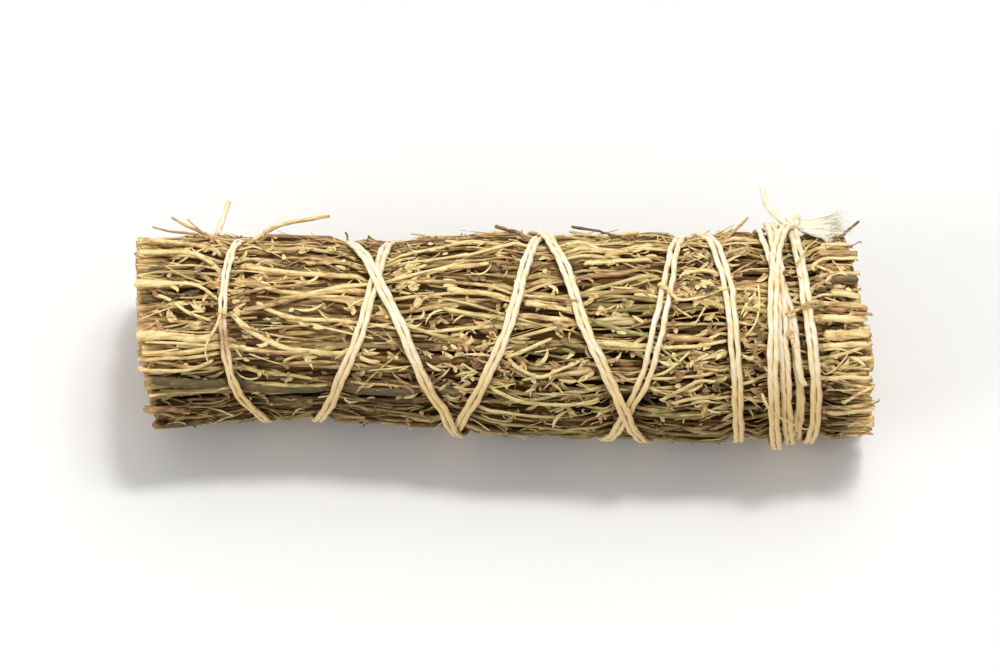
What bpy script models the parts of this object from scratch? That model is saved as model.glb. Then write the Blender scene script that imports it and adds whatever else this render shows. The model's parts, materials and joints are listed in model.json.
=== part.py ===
"""Smudge stick: dried herb sprigs packed side by side and bound with one doubled cotton string.

Metres, +Z up. The stick lies along X on z = 0, with its footprint's middle at the origin.
Each sprig is a solid of its own: a woody stem, and on the outer ones a side twig forking from it.
"""

import math

import bmesh
import bpy
import numpy as np
from mathutils import Vector

MM = 0.001

# Bundle: its length between the cut ends, and where its middle and its axis lie
LENGTH = 112.0 * MM
MIDDLE_X = -0.25 * MM
AXIS_Y = -1.8 * MM
END_SLANT = 0.09
RAGGED_END = 1.4 * MM

# Stations along the stick: place along X, radius of the packed sprigs there, and how far the axis bows to +Y
STATION_X = np.array([-61.5, -41.0, -20.5, 0.0, 20.5, 41.0, 61.5]) * MM
STATION_RADIUS = np.array([14.7, 14.2, 14.4, 15.2, 15.7, 15.7, 14.8]) * MM
STATION_BOW = np.array([-0.2, 0.7, 0.8, 0.2, 0.1, -0.1, -0.4]) * MM

# The seen side faces up at this angle above the horizon; wrap angles are counted from its upper edge
VIEW_ELEVATION = 65.0

# Sprigs
OUTER_SPRIGS = 24
INNER_SPRIGS = 24
OUTER_CELL = (1.50 * MM, 1.95 * MM)
INNER_CELL = (1.85 * MM, 2.40 * MM)
CELL_GAP = 0.16 * MM
LARGEST_CELL = 2.5 * MM
FIT_ROUNDS = 60
FIRST_ROUNDS, STATION_ROUNDS = 3000, 1200
PUSH = 0.35
WANDER = 0.45 * MM
LAYOUT_SEED = 11

# Stem and side twig: their radii and their distances from the cell's middle, as shares of the cell's radius
STEM_SHARE, STEM_OFFSET = 0.62, 0.36
TWIG_SHARE, TWIG_OFFSET = 0.34, 0.64
TWIG_TIP_SHARE = 0.62
INNER_STEM_SHARE = 0.86

# String: one cotton cord laid double
STRING_RADIUS = 0.475 * MM
STRAND_PITCH = 1.03 * MM
STRING_GAP = 0.50 * MM
CHORD_ERROR = 0.45 * MM
PRESSED = 0.12 * MM
CROSSING_LIFT = 1.22 * MM
CROSSING_RAMP = 1.2 * MM
FLAT_ZONE = (213.0, 275.0)
FLAT_ZONE_RAMP = 9.0

# The fold where the string starts: its loop's radius and how far its middle lies past the strands' start
FOLD_RADIUS = 1.1 * MM
FOLD_REACH = 1.9 * MM

STRING_LEVEL = STRING_RADIUS - PRESSED
FLAT_Z = STRING_LEVEL + STRING_RADIUS + STRING_GAP
FLATTENED = 0.91
AXIS_Z = FLAT_Z + FLATTENED * STATION_RADIUS.mean()

# Route of the string's middle: degrees wound from the start, and place along X
ROUTE = [
    (-45, 33.5), (0, 27.3), (90, 20.6), (180, 15.6), (270, 11.5),
    (360, 4.4), (450, -2.0), (540, -7.8), (630, -10.8), (720, -18.2), (810, -22.6),
    (900, -29.1), (990, -30.8), (1080, -41.3), (1155, -43.3), (1215, -40.5),
    (1260, -36.8), (1345, -35.2), (1440, -24.1), (1530, -14.3), (1620, -6.7),
    (1710, -2.4), (1800, 6.7), (1890, 14.1), (1980, 21.8), (2070, 25.5), (2160, 32.3),
    (2250, 34.9), (2340, 36.6), (2430, 37.0), (2520, 39.4), (2565, 41.7), (2610, 43.6),
    (2700, 45.4), (2790, 45.6), (2880, 46.0), (2930, 46.4), (2970, 47.2), (3060, 48.0),
    (3150, 48.0), (3240, 42.4), (3290, 42.3), (3330, 42.6), (3420, 43.2), (3510, 42.9),
    (3600, 44.6), (3640, 40.9), (3690, 40.1), (3780, 40.6), (3870, 40.2), (3945, 43.6),
]
ROUTE_STEP = 3.0

# Knot, its tail and its frayed end: place along X, height over the bundle's axis, wrap angle
KNOT_AT = (44.4, 18.5, -9.0)
KNOT_SIZE = (1.75 * MM, 1.45 * MM, 1.25 * MM)
TAIL = [(44.2, 18.6, -8.0), (42.0, 19.3, -6.0), (40.8, 21.0, -5.0), (40.3, 23.4, -5.0)]
FRAY = [(45.0, 18.6, -9.0), (48.0, 18.0, -7.0), (51.0, 17.6, -5.0), (54.0, 18.0, -3.0)]
FRAY_RADII = (0.55, 0.85, 1.0, 0.6)
SPLICE_END = [(-40.1, 14.9, -10.0), (-40.9, 16.4, -12.0), (-42.2, 18.2, -12.0), (-43.4, 20.4, -11.0)]

# Side shoots that stand out of the bundle's upper edge: base, bend and tip as (X, height, wrap angle)
SHOOT_RADIUS = 0.45 * MM
SHOOTS = [
    [(-38.6, 15.2, 2.0), (-34.5, 17.1, 2.0), (-27.3, 18.9, 0.0)],
    [(-46.9, 15.3, 6.0), (-48.9, 16.9, 4.0), (-52.2, 18.7, 2.0)],
    [(-50.3, 15.2, 4.0), (-52.6, 16.3, 3.0), (-55.2, 17.2, 2.0)],
    [(34.9, 16.2, 4.0), (36.2, 17.2, 3.0), (37.9, 18.8, 2.0)],
    [(51.6, 15.6, 9.0), (53.3, 16.7, 9.0), (55.2, 18.2, 9.0)],
]

# A bevel resolution of 1 makes six-sided tubes
SIX_SIDED = 1


def clear_scene():
    """Empty the file of its startup objects."""
    for obj in list(bpy.data.objects):
        bpy.data.objects.remove(obj, do_unlink=True)


def new_collection(name):
    """Make a collection in the scene."""
    collection = bpy.data.collections.new(name)
    bpy.context.scene.collection.children.link(collection)
    return collection


def principled(name, colour, roughness):
    """A dull, non-metallic surface of one colour."""
    material = bpy.data.materials.new(name)
    material.use_nodes = True
    shader = material.node_tree.nodes["Principled BSDF"]
    shader.inputs["Base Color"].default_value = (*colour, 1.0)
    shader.inputs["Roughness"].default_value = roughness
    shader.inputs["Metallic"].default_value = 0.0
    return material


def radius_at(x):
    """Radius of the packed sprigs at a place along the stick."""
    return np.interp(x, STATION_X, STATION_RADIUS)


def axis_y(x):
    """Where the bundle's slightly bowed axis lies across the stick."""
    return AXIS_Y + np.interp(x, STATION_X, STATION_BOW)


def section_point(x, wrap_angle, distance):
    """Point at a distance from the bundle's axis, at a wrap angle from the seen side's upper edge."""
    polar = math.radians(wrap_angle - VIEW_ELEVATION)
    return Vector((x, axis_y(x) - distance * math.sin(polar), AXIS_Z + distance * math.cos(polar)))


def placed(spots):
    """World points of (X, height, wrap angle) triples given in millimetres and degrees."""
    return [section_point(x * MM, angle, height * MM) for x, height, angle in spots]


def tube(name, points, radii, material, collection):
    """A capped six-sided tube along points, made a mesh with its caps welded on."""
    curve = bpy.data.curves.new(name, "CURVE")
    curve.dimensions = "3D"
    curve.bevel_depth = 1.0
    curve.bevel_resolution = SIX_SIDED
    curve.use_fill_caps = True
    spline = curve.splines.new("POLY")
    spline.points.add(len(points) - 1)
    for spot, point, radius in zip(spline.points, points, radii):
        spot.co = (*point, 1.0)
        spot.radius = radius
    source = bpy.data.objects.new(name + "_path", curve)
    bpy.context.scene.collection.objects.link(source)
    bpy.context.view_layer.update()
    graph = bpy.context.evaluated_depsgraph_get()
    mesh = bpy.data.meshes.new_from_object(source.evaluated_get(graph))
    bpy.data.objects.remove(source, do_unlink=True)
    solid = bmesh.new()
    solid.from_mesh(mesh)
    bmesh.ops.remove_doubles(solid, verts=solid.verts, dist=1e-6)
    bmesh.ops.recalc_face_normals(solid, faces=solid.faces)
    solid.to_mesh(mesh)
    solid.free()
    mesh.materials.clear()
    mesh.materials.append(material)
    obj = bpy.data.objects.new(name, mesh)
    collection.objects.link(obj)
    return obj


def join(body, others):
    """Boolean union of other solids into one body, which keeps its name."""
    for other in others:
        union = body.modifiers.new("join", "BOOLEAN")
        union.operation = "UNION"
        union.solver = "EXACT"
        union.object = other
    bpy.context.view_layer.update()
    graph = bpy.context.evaluated_depsgraph_get()
    mesh = bpy.data.meshes.new_from_object(body.evaluated_get(graph))
    body.modifiers.clear()
    body.data = mesh
    for other in others:
        bpy.data.objects.remove(other, do_unlink=True)


def saw(obj, plane_point, plane_normal):
    """Cut away what lies past a plane and close the cut with a flat face."""
    solid = bmesh.new()
    solid.from_mesh(obj.data)
    cut = bmesh.ops.bisect_plane(
        solid,
        geom=solid.verts[:] + solid.edges[:] + solid.faces[:],
        dist=1e-7,
        plane_co=plane_point,
        plane_no=plane_normal,
        clear_outer=True,
    )
    rim = [part for part in cut["geom_cut"] if isinstance(part, bmesh.types.BMEdge)]
    bmesh.ops.holes_fill(solid, edges=rim, sides=0)
    bmesh.ops.recalc_face_normals(solid, faces=solid.faces)
    solid.to_mesh(obj.data)
    solid.free()


def smooth_step(value):
    """Ease from 0 to 1."""
    value = np.clip(value, 0.0, 1.0)
    return value * value * (3.0 - 2.0 * value)


def settle(centres, radii, bundle_radius, rounds):
    """Push circles apart and back inside the bundle's flat-bottomed outline until none overlap."""
    centres = centres.copy()
    floor = -(AXIS_Z - FLAT_Z)
    apart = radii[:, None] + radii[None, :] + CELL_GAP
    np.fill_diagonal(apart, 0.0)
    for _ in range(rounds):
        between = centres[:, None] - centres[None, :]
        distance = np.linalg.norm(between, axis=2) + 1e-9
        overlap = np.clip(apart - distance, 0.0, None)
        centres += PUSH * np.sum(between / distance[..., None] * overlap[..., None], axis=1)
        reach = np.linalg.norm(centres, axis=1) + 1e-9
        inside = np.minimum(1.0, (bundle_radius - radii) / reach)
        centres *= inside[:, None]
        centres[:, 1] = np.maximum(centres[:, 1], floor + radii)
    return centres


def room_around(centres, radii, bundle_radius):
    """How far each circle is from its nearest neighbour or the outline: negative where they overlap."""
    distance = np.linalg.norm(centres[:, None] - centres[None, :], axis=2)
    np.fill_diagonal(distance, np.inf)
    to_neighbour = np.min(distance - radii[None, :], axis=1) - radii - CELL_GAP
    to_outline = bundle_radius - np.linalg.norm(centres, axis=1) - radii
    to_floor = centres[:, 1] + AXIS_Z - FLAT_Z - radii
    return np.minimum(to_neighbour, 2.0 * np.minimum(to_outline, to_floor))


def fitted_radii(stations, radii):
    """Cell radii that just fill the room they have at every station: each takes half of its own gap."""
    for _ in range(FIT_ROUNDS):
        rooms = [room_around(c, radii, r) for c, r in zip(stations, STATION_RADIUS)]
        radii = np.minimum(radii + 0.5 * np.min(rooms, axis=0), LARGEST_CELL)
    return radii


def sprig_layout():
    """Cell centres at each station, and the cells' radii: a packing that wanders along the stick."""
    rng = np.random.default_rng(LAYOUT_SEED)
    turn = rng.permutation(OUTER_SPRIGS) * 2.0 * math.pi / OUTER_SPRIGS
    ring = radius_at(0.0) - OUTER_CELL[1]
    outer = np.stack([np.sin(turn), np.cos(turn)], axis=1) * ring
    inner_turn = rng.uniform(0.0, 2.0 * math.pi, INNER_SPRIGS)
    inner_reach = np.sqrt(rng.uniform(0.0, 1.0, INNER_SPRIGS)) * (ring - 2.0 * INNER_CELL[0])
    inner = np.stack([np.sin(inner_turn), np.cos(inner_turn)], axis=1) * inner_reach[:, None]
    centres = np.concatenate([outer, inner])
    radii = np.concatenate([
        rng.uniform(*OUTER_CELL, OUTER_SPRIGS),
        rng.uniform(*INNER_CELL, INNER_SPRIGS),
    ])
    centres = settle(centres, radii, STATION_RADIUS[0], FIRST_ROUNDS)
    drift = rng.normal(0.0, WANDER, centres.shape)
    stations = []
    for bundle_radius in STATION_RADIUS:
        fresh = rng.normal(0.0, WANDER, centres.shape)
        drift = 0.6 * drift + 0.4 * fresh
        centres = settle(centres + drift, radii, bundle_radius, STATION_ROUNDS)
        stations.append(centres)
    stations = np.array(stations)
    return stations, fitted_radii(stations, radii)


def sprig_direction(number, station, centre):
    """Which way in the cell the stem lies: sideways along the bundle's skin, turning slowly."""
    around = math.atan2(centre[1], centre[0]) + math.pi / 2.0
    lean = 0.5 * math.sin(1.7 * number + 0.45 * station)
    flip = math.pi * (number % 2)
    return np.array([math.cos(around + lean + flip), math.sin(around + lean + flip)])


def stem_swelling(number, station):
    """Knuckles where leaves grew: the stem's thickness runs between about 0.82 and 1 of its share."""
    return 0.91 + 0.09 * math.sin(2.3 * number + 2.1 * station)


def sprig_points(number, stations, radii, offset_share, chosen):
    """World points along one line of a sprig's cell, at the chosen stations."""
    points = []
    for k in chosen:
        centre = stations[k, number]
        aside = sprig_direction(number, k, centre) * offset_share * radii[number]
        spot = centre + aside
        points.append(Vector((STATION_X[k], AXIS_Y + STATION_BOW[k] + spot[0], AXIS_Z + spot[1])))
    return points


def sprig(number, stations, radii, material, collection):
    """One sprig: a stem along the bundle and, on an outer one, a side twig that forks from it."""
    name = f"sprig_{number + 1:02d}"
    cell = radii[number]
    outer = number < OUTER_SPRIGS
    every = range(len(STATION_X))
    chosen = list(every) if outer else list(every)[::2]
    share = STEM_SHARE if outer else INNER_STEM_SHARE
    offset = STEM_OFFSET if outer else 0.0
    points = sprig_points(number, stations, radii, offset, chosen)
    thickness = [cell * share * stem_swelling(number, k) for k in chosen]
    stem = tube(name, points, thickness, material, collection)
    if outer:
        first = 1 + number % 3
        last = min(first + 2 + number % 2, len(STATION_X) - 2)
        beside = sprig_points(number, stations, radii, -TWIG_OFFSET, range(first + 1, last + 1))
        fork = points[first]
        taper = np.linspace(1.0, TWIG_TIP_SHARE, len(beside) + 1) * cell * TWIG_SHARE
        twig = tube(name + "_twig", [fork, *beside], taper, material, collection)
        join(stem, [twig])
    return stem


def end_planes(number):
    """The saw planes of one sprig: the left end is trimmed clean and the right end is ragged."""
    elevation = math.radians(VIEW_ELEVATION)
    across = Vector((0.0, math.sin(elevation), math.cos(elevation)))
    normal = (Vector((1.0, 0.0, 0.0)) + END_SLANT * across).normalized()
    ragged = RAGGED_END * math.sin(12.9898 * (number + 1))
    left = Vector((MIDDLE_X - LENGTH / 2.0, AXIS_Y, AXIS_Z))
    right = Vector((MIDDLE_X + LENGTH / 2.0 + ragged - RAGGED_END / 2.0, AXIS_Y, AXIS_Z))
    return (left, -normal), (right, normal)


def nearest_outer(stations, radii, x, wrap_angle):
    """Number of the outer sprig whose stem passes closest to a place on the bundle's skin."""
    want = section_point(x, wrap_angle, float(radius_at(x)))
    best = None
    for number in range(OUTER_SPRIGS):
        line = sprig_points(number, stations, radii, STEM_OFFSET, range(len(STATION_X)))
        y = np.interp(x, STATION_X, [p.y for p in line])
        z = np.interp(x, STATION_X, [p.z for p in line])
        away = math.hypot(y - want.y, z - want.z)
        if best is None or away < best[0]:
            best = (away, number, Vector((x, y, z)))
    return best[1], best[2]


def add_shoots(sprigs, stations, radii, material, collection):
    """Fuse the side shoots that stick out of the bundle to the outer stems they grow from."""
    for index, spots in enumerate(SHOOTS):
        base_x, _, base_angle = spots[0]
        number, root = nearest_outer(stations, radii, base_x * MM, base_angle)
        points = [root, *placed(spots)]
        taper = [SHOOT_RADIUS * share for share in (1.0, 1.0, 0.9, 0.7)]
        shoot = tube(f"shoot_{index}", points, taper, material, collection)
        join(sprigs[number], [shoot])


def string_middle():
    """Samples of the doubled string's middle line: degrees wound, place along X, slope, crossing lift."""
    knots = np.array([degrees for degrees, _ in ROUTE], float)
    places = np.array([x for _, x in ROUTE]) * MM
    wound = np.arange(knots[0], knots[-1] + 0.01, ROUTE_STEP)
    along = hermite(knots, places, wound)
    slope = np.gradient(along, np.radians(wound) * radius_at(0.0))
    half_width = (STRAND_PITCH / 2.0 + STRING_RADIUS) * np.sqrt(1.0 + slope * slope)
    per_turn = int(round(360.0 / ROUTE_STEP))
    aside = np.minimum(np.abs((wound % 360.0) - FLAT_ZONE[0]), np.abs((wound % 360.0) - FLAT_ZONE[1]))
    in_zone = ((wound % 360.0) > FLAT_ZONE[0]) & ((wound % 360.0) < FLAT_ZONE[1])
    free = np.where(in_zone, 0.0, smooth_step(aside / FLAT_ZONE_RAMP))
    lift = np.zeros(len(wound))
    for i in range(len(wound)):
        for j in range(i - per_turn, -1, -per_turn):
            clear = half_width[i] + half_width[j]
            near = abs(along[i] - along[j])
            over = smooth_step((clear + CROSSING_RAMP - near) / CROSSING_RAMP)
            lift[i] = max(lift[i], free[i] * over * (lift[j] + CROSSING_LIFT))
    return wound, along, slope, lift


def hermite(knots, values, at):
    """Smooth curve through values at knots, with slopes that never overshoot."""
    step = np.diff(knots)
    rise = np.diff(values) / step
    slopes = np.zeros(len(knots))
    same = rise[:-1] * rise[1:] > 0.0
    weight = rise[:-1] + rise[1:]
    inner = np.zeros(len(rise) - 1)
    inner[same] = 2.0 * rise[:-1][same] * rise[1:][same] / weight[same]
    slopes[1:-1] = inner
    slopes[0], slopes[-1] = rise[0], rise[-1]
    cell = np.clip(np.searchsorted(knots, at, side="right") - 1, 0, len(step) - 1)
    t = (at - knots[cell]) / step[cell]
    start = (1.0 + 2.0 * t) * (1.0 - t) ** 2 * values[cell] + t * (1.0 - t) ** 2 * step[cell] * slopes[cell]
    end = t * t * (3.0 - 2.0 * t) * values[cell + 1] + t * t * (t - 1.0) * step[cell] * slopes[cell + 1]
    return start + end


def strand(side, wound, along, slope, lift):
    """Points of one of the two strands, half a pitch to one side of the string's middle."""
    lean = np.arctan(slope)
    x = along + side * STRAND_PITCH / 2.0 * np.cos(lean)
    turned = wound - side * np.degrees(STRAND_PITCH / 2.0 * np.sin(lean) / radius_at(0.0))
    polar = np.radians(turned - VIEW_ELEVATION)
    distance = radius_at(x) + STRING_GAP + STRING_RADIUS
    down = -np.cos(polar)
    level = (AXIS_Z - STRING_LEVEL) / np.maximum(down, 1e-6)
    distance = np.where(down > 0.0, np.minimum(distance, level), distance) + lift
    y = axis_y(x) - distance * np.sin(polar)
    z = AXIS_Z + distance * np.cos(polar)
    return np.stack([x, y, z], axis=1)


def thinned(points, error):
    """The fewest of the points whose straight runs stay within an error of all of them."""
    keep = [0, len(points) - 1]
    spans = [(0, len(points) - 1)]
    while spans:
        first, last = spans.pop()
        if last - first < 2:
            continue
        chord = points[last] - points[first]
        chord_length = np.linalg.norm(chord)
        away = points[first + 1:last] - points[first]
        share = np.clip(away @ chord / chord_length**2, 0.0, 1.0)
        distance = np.linalg.norm(away - share[:, None] * chord, axis=1)
        worst = int(np.argmax(distance))
        if distance[worst] > error:
            middle = first + 1 + worst
            keep.append(middle)
            spans += [(first, middle), (middle, last)]
    return points[sorted(keep)]


def bight(left, right):
    """The fold that joins the two strands where the string starts, as a widened loop."""
    heading = (left[0] - left[3]) / np.linalg.norm(left[0] - left[3])
    aside = (left[0] - right[0]) / np.linalg.norm(left[0] - right[0])
    middle = (left[0] + right[0]) / 2.0
    angles = np.radians([-40.0, 0.0, 45.0, 90.0, 135.0, 180.0, 220.0])[:, None]
    hub = middle + heading * FOLD_REACH
    return hub + FOLD_RADIUS * (np.cos(angles) * aside + np.sin(angles) * heading)


def binding_string(material, collection):
    """The doubled string, its knot, tails and frayed end: one solid, pressed flat where the stick rests."""
    wound, along, slope, lift = string_middle()
    left = strand(+1.0, wound, along, slope, lift)
    right = strand(-1.0, wound, along, slope, lift)
    fold = bight(left, right)
    left = thinned(left, CHORD_ERROR)
    right = thinned(right, CHORD_ERROR)
    route = np.concatenate([left[::-1], fold, right])
    string = tube("binding_string", route, [STRING_RADIUS] * len(route), material, collection)
    knot = knot_lump(material, collection)
    tail = tube("tail", placed(TAIL), [STRING_RADIUS] * len(TAIL), material, collection)
    fray = tube("fray", placed(FRAY), [share * MM for share in FRAY_RADII], material, collection)
    splice = tube("splice", placed(SPLICE_END), [STRING_RADIUS] * len(SPLICE_END), material, collection)
    join(string, [knot, tail, fray, splice])
    saw(string, Vector((0.0, 0.0, 0.0)), Vector((0.0, 0.0, -1.0)))
    return string


def knot_lump(material, collection):
    """The tied-off knot: a squashed ball of turns that both strands run into."""
    solid = bmesh.new()
    bmesh.ops.create_icosphere(solid, subdivisions=2, radius=1.0)
    bmesh.ops.scale(solid, vec=KNOT_SIZE, verts=solid.verts)
    mesh = bpy.data.meshes.new("knot")
    solid.to_mesh(mesh)
    solid.free()
    mesh.materials.append(material)
    obj = bpy.data.objects.new("knot", mesh)
    obj.location = placed([KNOT_AT])[0]
    collection.objects.link(obj)
    return obj


def build():
    """Model the whole stick."""
    clear_scene()
    collection = new_collection("smudge_stick")
    straw = principled("dried_stem", (0.47, 0.37, 0.17), 0.8)
    cotton = principled("cotton_string", (0.82, 0.76, 0.62), 0.9)
    stations, radii = sprig_layout()
    sprigs = [sprig(n, stations, radii, straw, collection) for n in range(len(radii))]
    add_shoots(sprigs, stations, radii, straw, collection)
    for number, obj in enumerate(sprigs):
        for plane_point, plane_normal in end_planes(number):
            saw(obj, plane_point, plane_normal)
    binding_string(cotton, collection)


build()
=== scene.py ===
"""A smudge stick as it looks: dried herb sprigs rolled together and bound with a doubled cotton string.

Metres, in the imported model's frame: the stick lies along X on z = 0. A point on the roll is given by x,
by a wrap angle in degrees, which runs round the roll from the upper edge of the side that is seen
(90 faces the camera, 180 is the lower edge), and by its height over the roll's axis.
"""

import json
import math

import bpy
import numpy as np
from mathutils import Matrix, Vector

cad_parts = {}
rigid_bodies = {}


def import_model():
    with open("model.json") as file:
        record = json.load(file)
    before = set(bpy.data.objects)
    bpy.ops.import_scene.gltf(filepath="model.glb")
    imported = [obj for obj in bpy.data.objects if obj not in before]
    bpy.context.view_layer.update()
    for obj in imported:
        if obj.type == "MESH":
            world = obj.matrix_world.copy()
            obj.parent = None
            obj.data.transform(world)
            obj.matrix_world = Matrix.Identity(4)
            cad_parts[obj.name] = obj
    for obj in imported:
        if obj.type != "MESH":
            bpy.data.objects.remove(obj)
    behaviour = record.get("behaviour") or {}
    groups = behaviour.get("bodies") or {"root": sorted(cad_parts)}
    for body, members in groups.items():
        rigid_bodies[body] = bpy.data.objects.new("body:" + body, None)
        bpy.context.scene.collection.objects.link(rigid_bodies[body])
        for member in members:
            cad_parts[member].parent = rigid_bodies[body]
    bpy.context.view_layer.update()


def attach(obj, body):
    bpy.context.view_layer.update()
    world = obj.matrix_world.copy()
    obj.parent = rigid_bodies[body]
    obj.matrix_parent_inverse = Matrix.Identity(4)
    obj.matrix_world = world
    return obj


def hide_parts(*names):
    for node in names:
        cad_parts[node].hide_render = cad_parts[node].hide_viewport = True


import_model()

# Camera, floor and light
# The stick is seen from the front and well above, on a plain white table, in soft daylight that comes
# from above, from the right and from behind. The room throws some of it back from the left.
MM = 0.001
PHOTO_WIDTH = 1000
MIDDLE_PIXEL = (500.0, 335.5)
AXIS_PIXEL = (505.0, 334.0)
PIXEL = 0.1558 * MM
SEEN_FROM = 65.0
LENS, SENSOR = 200.0, 36.0
AXIS_Y, AXIS_Z = -1.8 * MM, 14.94 * MM

elevation = math.radians(SEEN_FROM)
UP = np.array([0.0, math.sin(elevation), math.cos(elevation)])
NEARER = np.array([0.0, -math.cos(elevation), math.sin(elevation)])
camera_distance = LENS / SENSOR * PHOTO_WIDTH * PIXEL
aim = np.array([(MIDDLE_PIXEL[0] - AXIS_PIXEL[0]) * PIXEL, AXIS_Y, AXIS_Z])
aim += (AXIS_PIXEL[1] - MIDDLE_PIXEL[1]) * PIXEL * UP
lens = bpy.data.cameras.new("camera")
lens.lens, lens.sensor_width = LENS, SENSOR
camera = bpy.data.objects.new("camera", lens)
camera.location = aim + camera_distance * NEARER
camera.rotation_euler = (math.pi / 2.0 - elevation, 0.0, 0.0)
bpy.context.scene.collection.objects.link(camera)
bpy.context.scene.camera = camera

# Each light: where it comes from, its distance and size in metres, its power in watts
LIGHTS = [
    ("window", (0.17, 0.28, 1.0), 1.6, 0.24, 7.2),
    ("side_window", (0.34, 0.27, 1.0), 1.2, 0.20, 1.5),
    ("ceiling", (0.15, 0.50, 1.0), 1.8, 1.4, 4.4),
    ("room", (-1.0, -0.45, 0.60), 1.5, 0.9, 5.0),
]
LAMP_COLOUR = (1.0, 0.99, 0.98)
SKY, SKY_STRENGTH = (0.995, 0.993, 0.987, 1.0), 0.48
for name, come_from, distance, size, power in LIGHTS:
    lamp = bpy.data.lights.new(name, "AREA")
    lamp.shape, lamp.size, lamp.energy, lamp.color = "DISK", size, power, LAMP_COLOUR
    light = bpy.data.objects.new(name, lamp)
    light.location = Vector(come_from).normalized() * distance
    light.rotation_euler = light.location.to_track_quat("Z", "Y").to_euler()
    bpy.context.scene.collection.objects.link(light)
sky = bpy.data.worlds.new("soft sky")
sky.use_nodes = True
sky.node_tree.nodes["Background"].inputs["Color"].default_value = SKY
sky.node_tree.nodes["Background"].inputs["Strength"].default_value = SKY_STRENGTH
bpy.context.scene.world = sky
bpy.context.scene.view_settings.view_transform = "Standard"
bpy.context.scene.view_settings.look = "Medium High Contrast"

TABLE_HALF = 2.0
TABLE_COLOUR, TABLE_ROUGHNESS = (0.830, 0.830, 0.826, 1.0), 0.7
table_mesh = bpy.data.meshes.new("table_top")
table_mesh.from_pydata(
    [(-TABLE_HALF, -TABLE_HALF, 0.0), (TABLE_HALF, -TABLE_HALF, 0.0),
     (TABLE_HALF, TABLE_HALF, 0.0), (-TABLE_HALF, TABLE_HALF, 0.0)], [], [(0, 1, 2, 3)])
table_top = bpy.data.objects.new("table_top", table_mesh)
bpy.context.scene.collection.objects.link(table_top)
white = bpy.data.materials.new("white_table")
white.use_nodes = True
white.node_tree.nodes["Principled BSDF"].inputs["Base Color"].default_value = TABLE_COLOUR
white.node_tree.nodes["Principled BSDF"].inputs["Roughness"].default_value = TABLE_ROUGHNESS
table_mesh.materials.append(white)


# Cotton string
# One thin unbleached twine, laid double and wound about eleven times round the roll, each turn lying
# over the ones before it. It is pulled tight, so it bites into the herbs and is pressed flat underneath.
STATION_X = np.array([-61.5, -41.0, -31.0, -20.5, -10.0, 0.0, 10.0, 20.5, 30.0, 41.0, 61.5]) * MM
PACKED_RADIUS = np.array([14.7, 14.1, 13.95, 13.75, 14.5, 15.5, 15.45, 15.6, 15.9, 15.7, 14.8]) * MM
STATION_BOW = np.array([-0.2, 1.0, 1.2, 0.5, 0.3, -0.05, -0.2, -0.6, -0.65, -0.2, -0.4]) * MM
LOOSE_COVER = 0.7 * MM
STRAND_WIDE, STRAND_THICK = 0.45 * MM, 0.37 * MM
STRAND_PITCH = 0.84 * MM
STRAND_WOBBLE, SWAY_RUNS = 0.05 * MM, (2.7, 4.6, 7.5)
SLIM_TURN, SLIM_REACH, SLIMMER = 1155.0, 95.0, 0.26
STRING_SINK = 0.25 * MM
# Over the top edge the string sinks between the twigs, but stands higher where turns lie on turns
TOP_SINK_X, TOP_SINK, TOP_SINK_REACH = (36.0 * MM, 40.0 * MM), (0.75 * MM, -0.45 * MM), 24.0
CROSSING_LIFT, CROSSING_RAMP = 0.72 * MM, 2.2 * MM
TABLE_ZONE, TABLE_ZONE_RAMP = (213.0, 275.0), 9.0
PLY_LAY = 2.3 * MM
PLY_SWELL = 0.035
STRAND_SIDES = 10
ROUTE_STEP = 1.1
# The string's route: how many degrees it has wound, and where along the roll it is then, in mm
ROUTE = [
    (-45, 33.0), (0, 27.7), (22, 26.6), (65, 24.6), (90, 23.1), (116, 21.1), (137, 18.7), (180, 15.6),
    (270, 11.5), (360, 6.3), (378, 4.9), (404, 3.4), (446, 0.45), (484, -3.9), (517, -7.0), (540, -7.9),
    (630, -10.8), (720, -17.4), (773, -19.8), (810, -22.15), (851, -26.0), (900, -29.2), (990, -30.8),
    (1080, -39.9), (1116, -42.2), (1155, -43.3), (1176, -43.1), (1197, -42.3), (1215, -40.9),
    (1238, -38.1), (1260, -36.8), (1345, -35.2), (1440, -24.6), (1458, -23.4), (1493, -20.1),
    (1530, -15.6), (1569, -11.5), (1588, -9.0), (1620, -7.2), (1710, -2.4), (1800, 4.9), (1818, 6.5),
    (1860, 10.1), (1886, 12.3), (1910, 15.4), (1937, 18.6), (1980, 21.8), (2070, 25.5), (2160, 30.9),
    (2196, 32.8), (2219, 34.0), (2250, 35.0), (2340, 36.4), (2430, 37.0), (2520, 39.9), (2558, 40.9),
    (2610, 44.2), (2650, 45.3), (2700, 45.1), (2790, 45.2), (2880, 44.6), (2930, 45.5), (2970, 46.8),
    (3010, 47.8), (3060, 47.3), (3150, 46.6), (3240, 41.2), (3290, 41.9), (3330, 42.5), (3370, 43.2),
    (3420, 44.2), (3510, 42.9), (3600, 44.4), (3645, 41.6), (3690, 40.9), (3735, 41.3), (3780, 42.3),
    (3870, 40.2), (3945, 43.6),
]
# Where the two strands part a little: degrees wound, how far along, and how wide apart they go
PARTED = [
    (85.0, 40.0, 0.55 * MM), (1155.0, 95.0, -0.22 * MM), (2215.0, 45.0, 0.15 * MM),
    (2535.0, 28.0, 0.45 * MM), (2635.0, 30.0, -0.40 * MM),
]


def roll_radius(x):
    """Radius of the roll's loose outer skin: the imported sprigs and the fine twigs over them."""
    return np.interp(x, STATION_X, PACKED_RADIUS) + LOOSE_COVER


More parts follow.
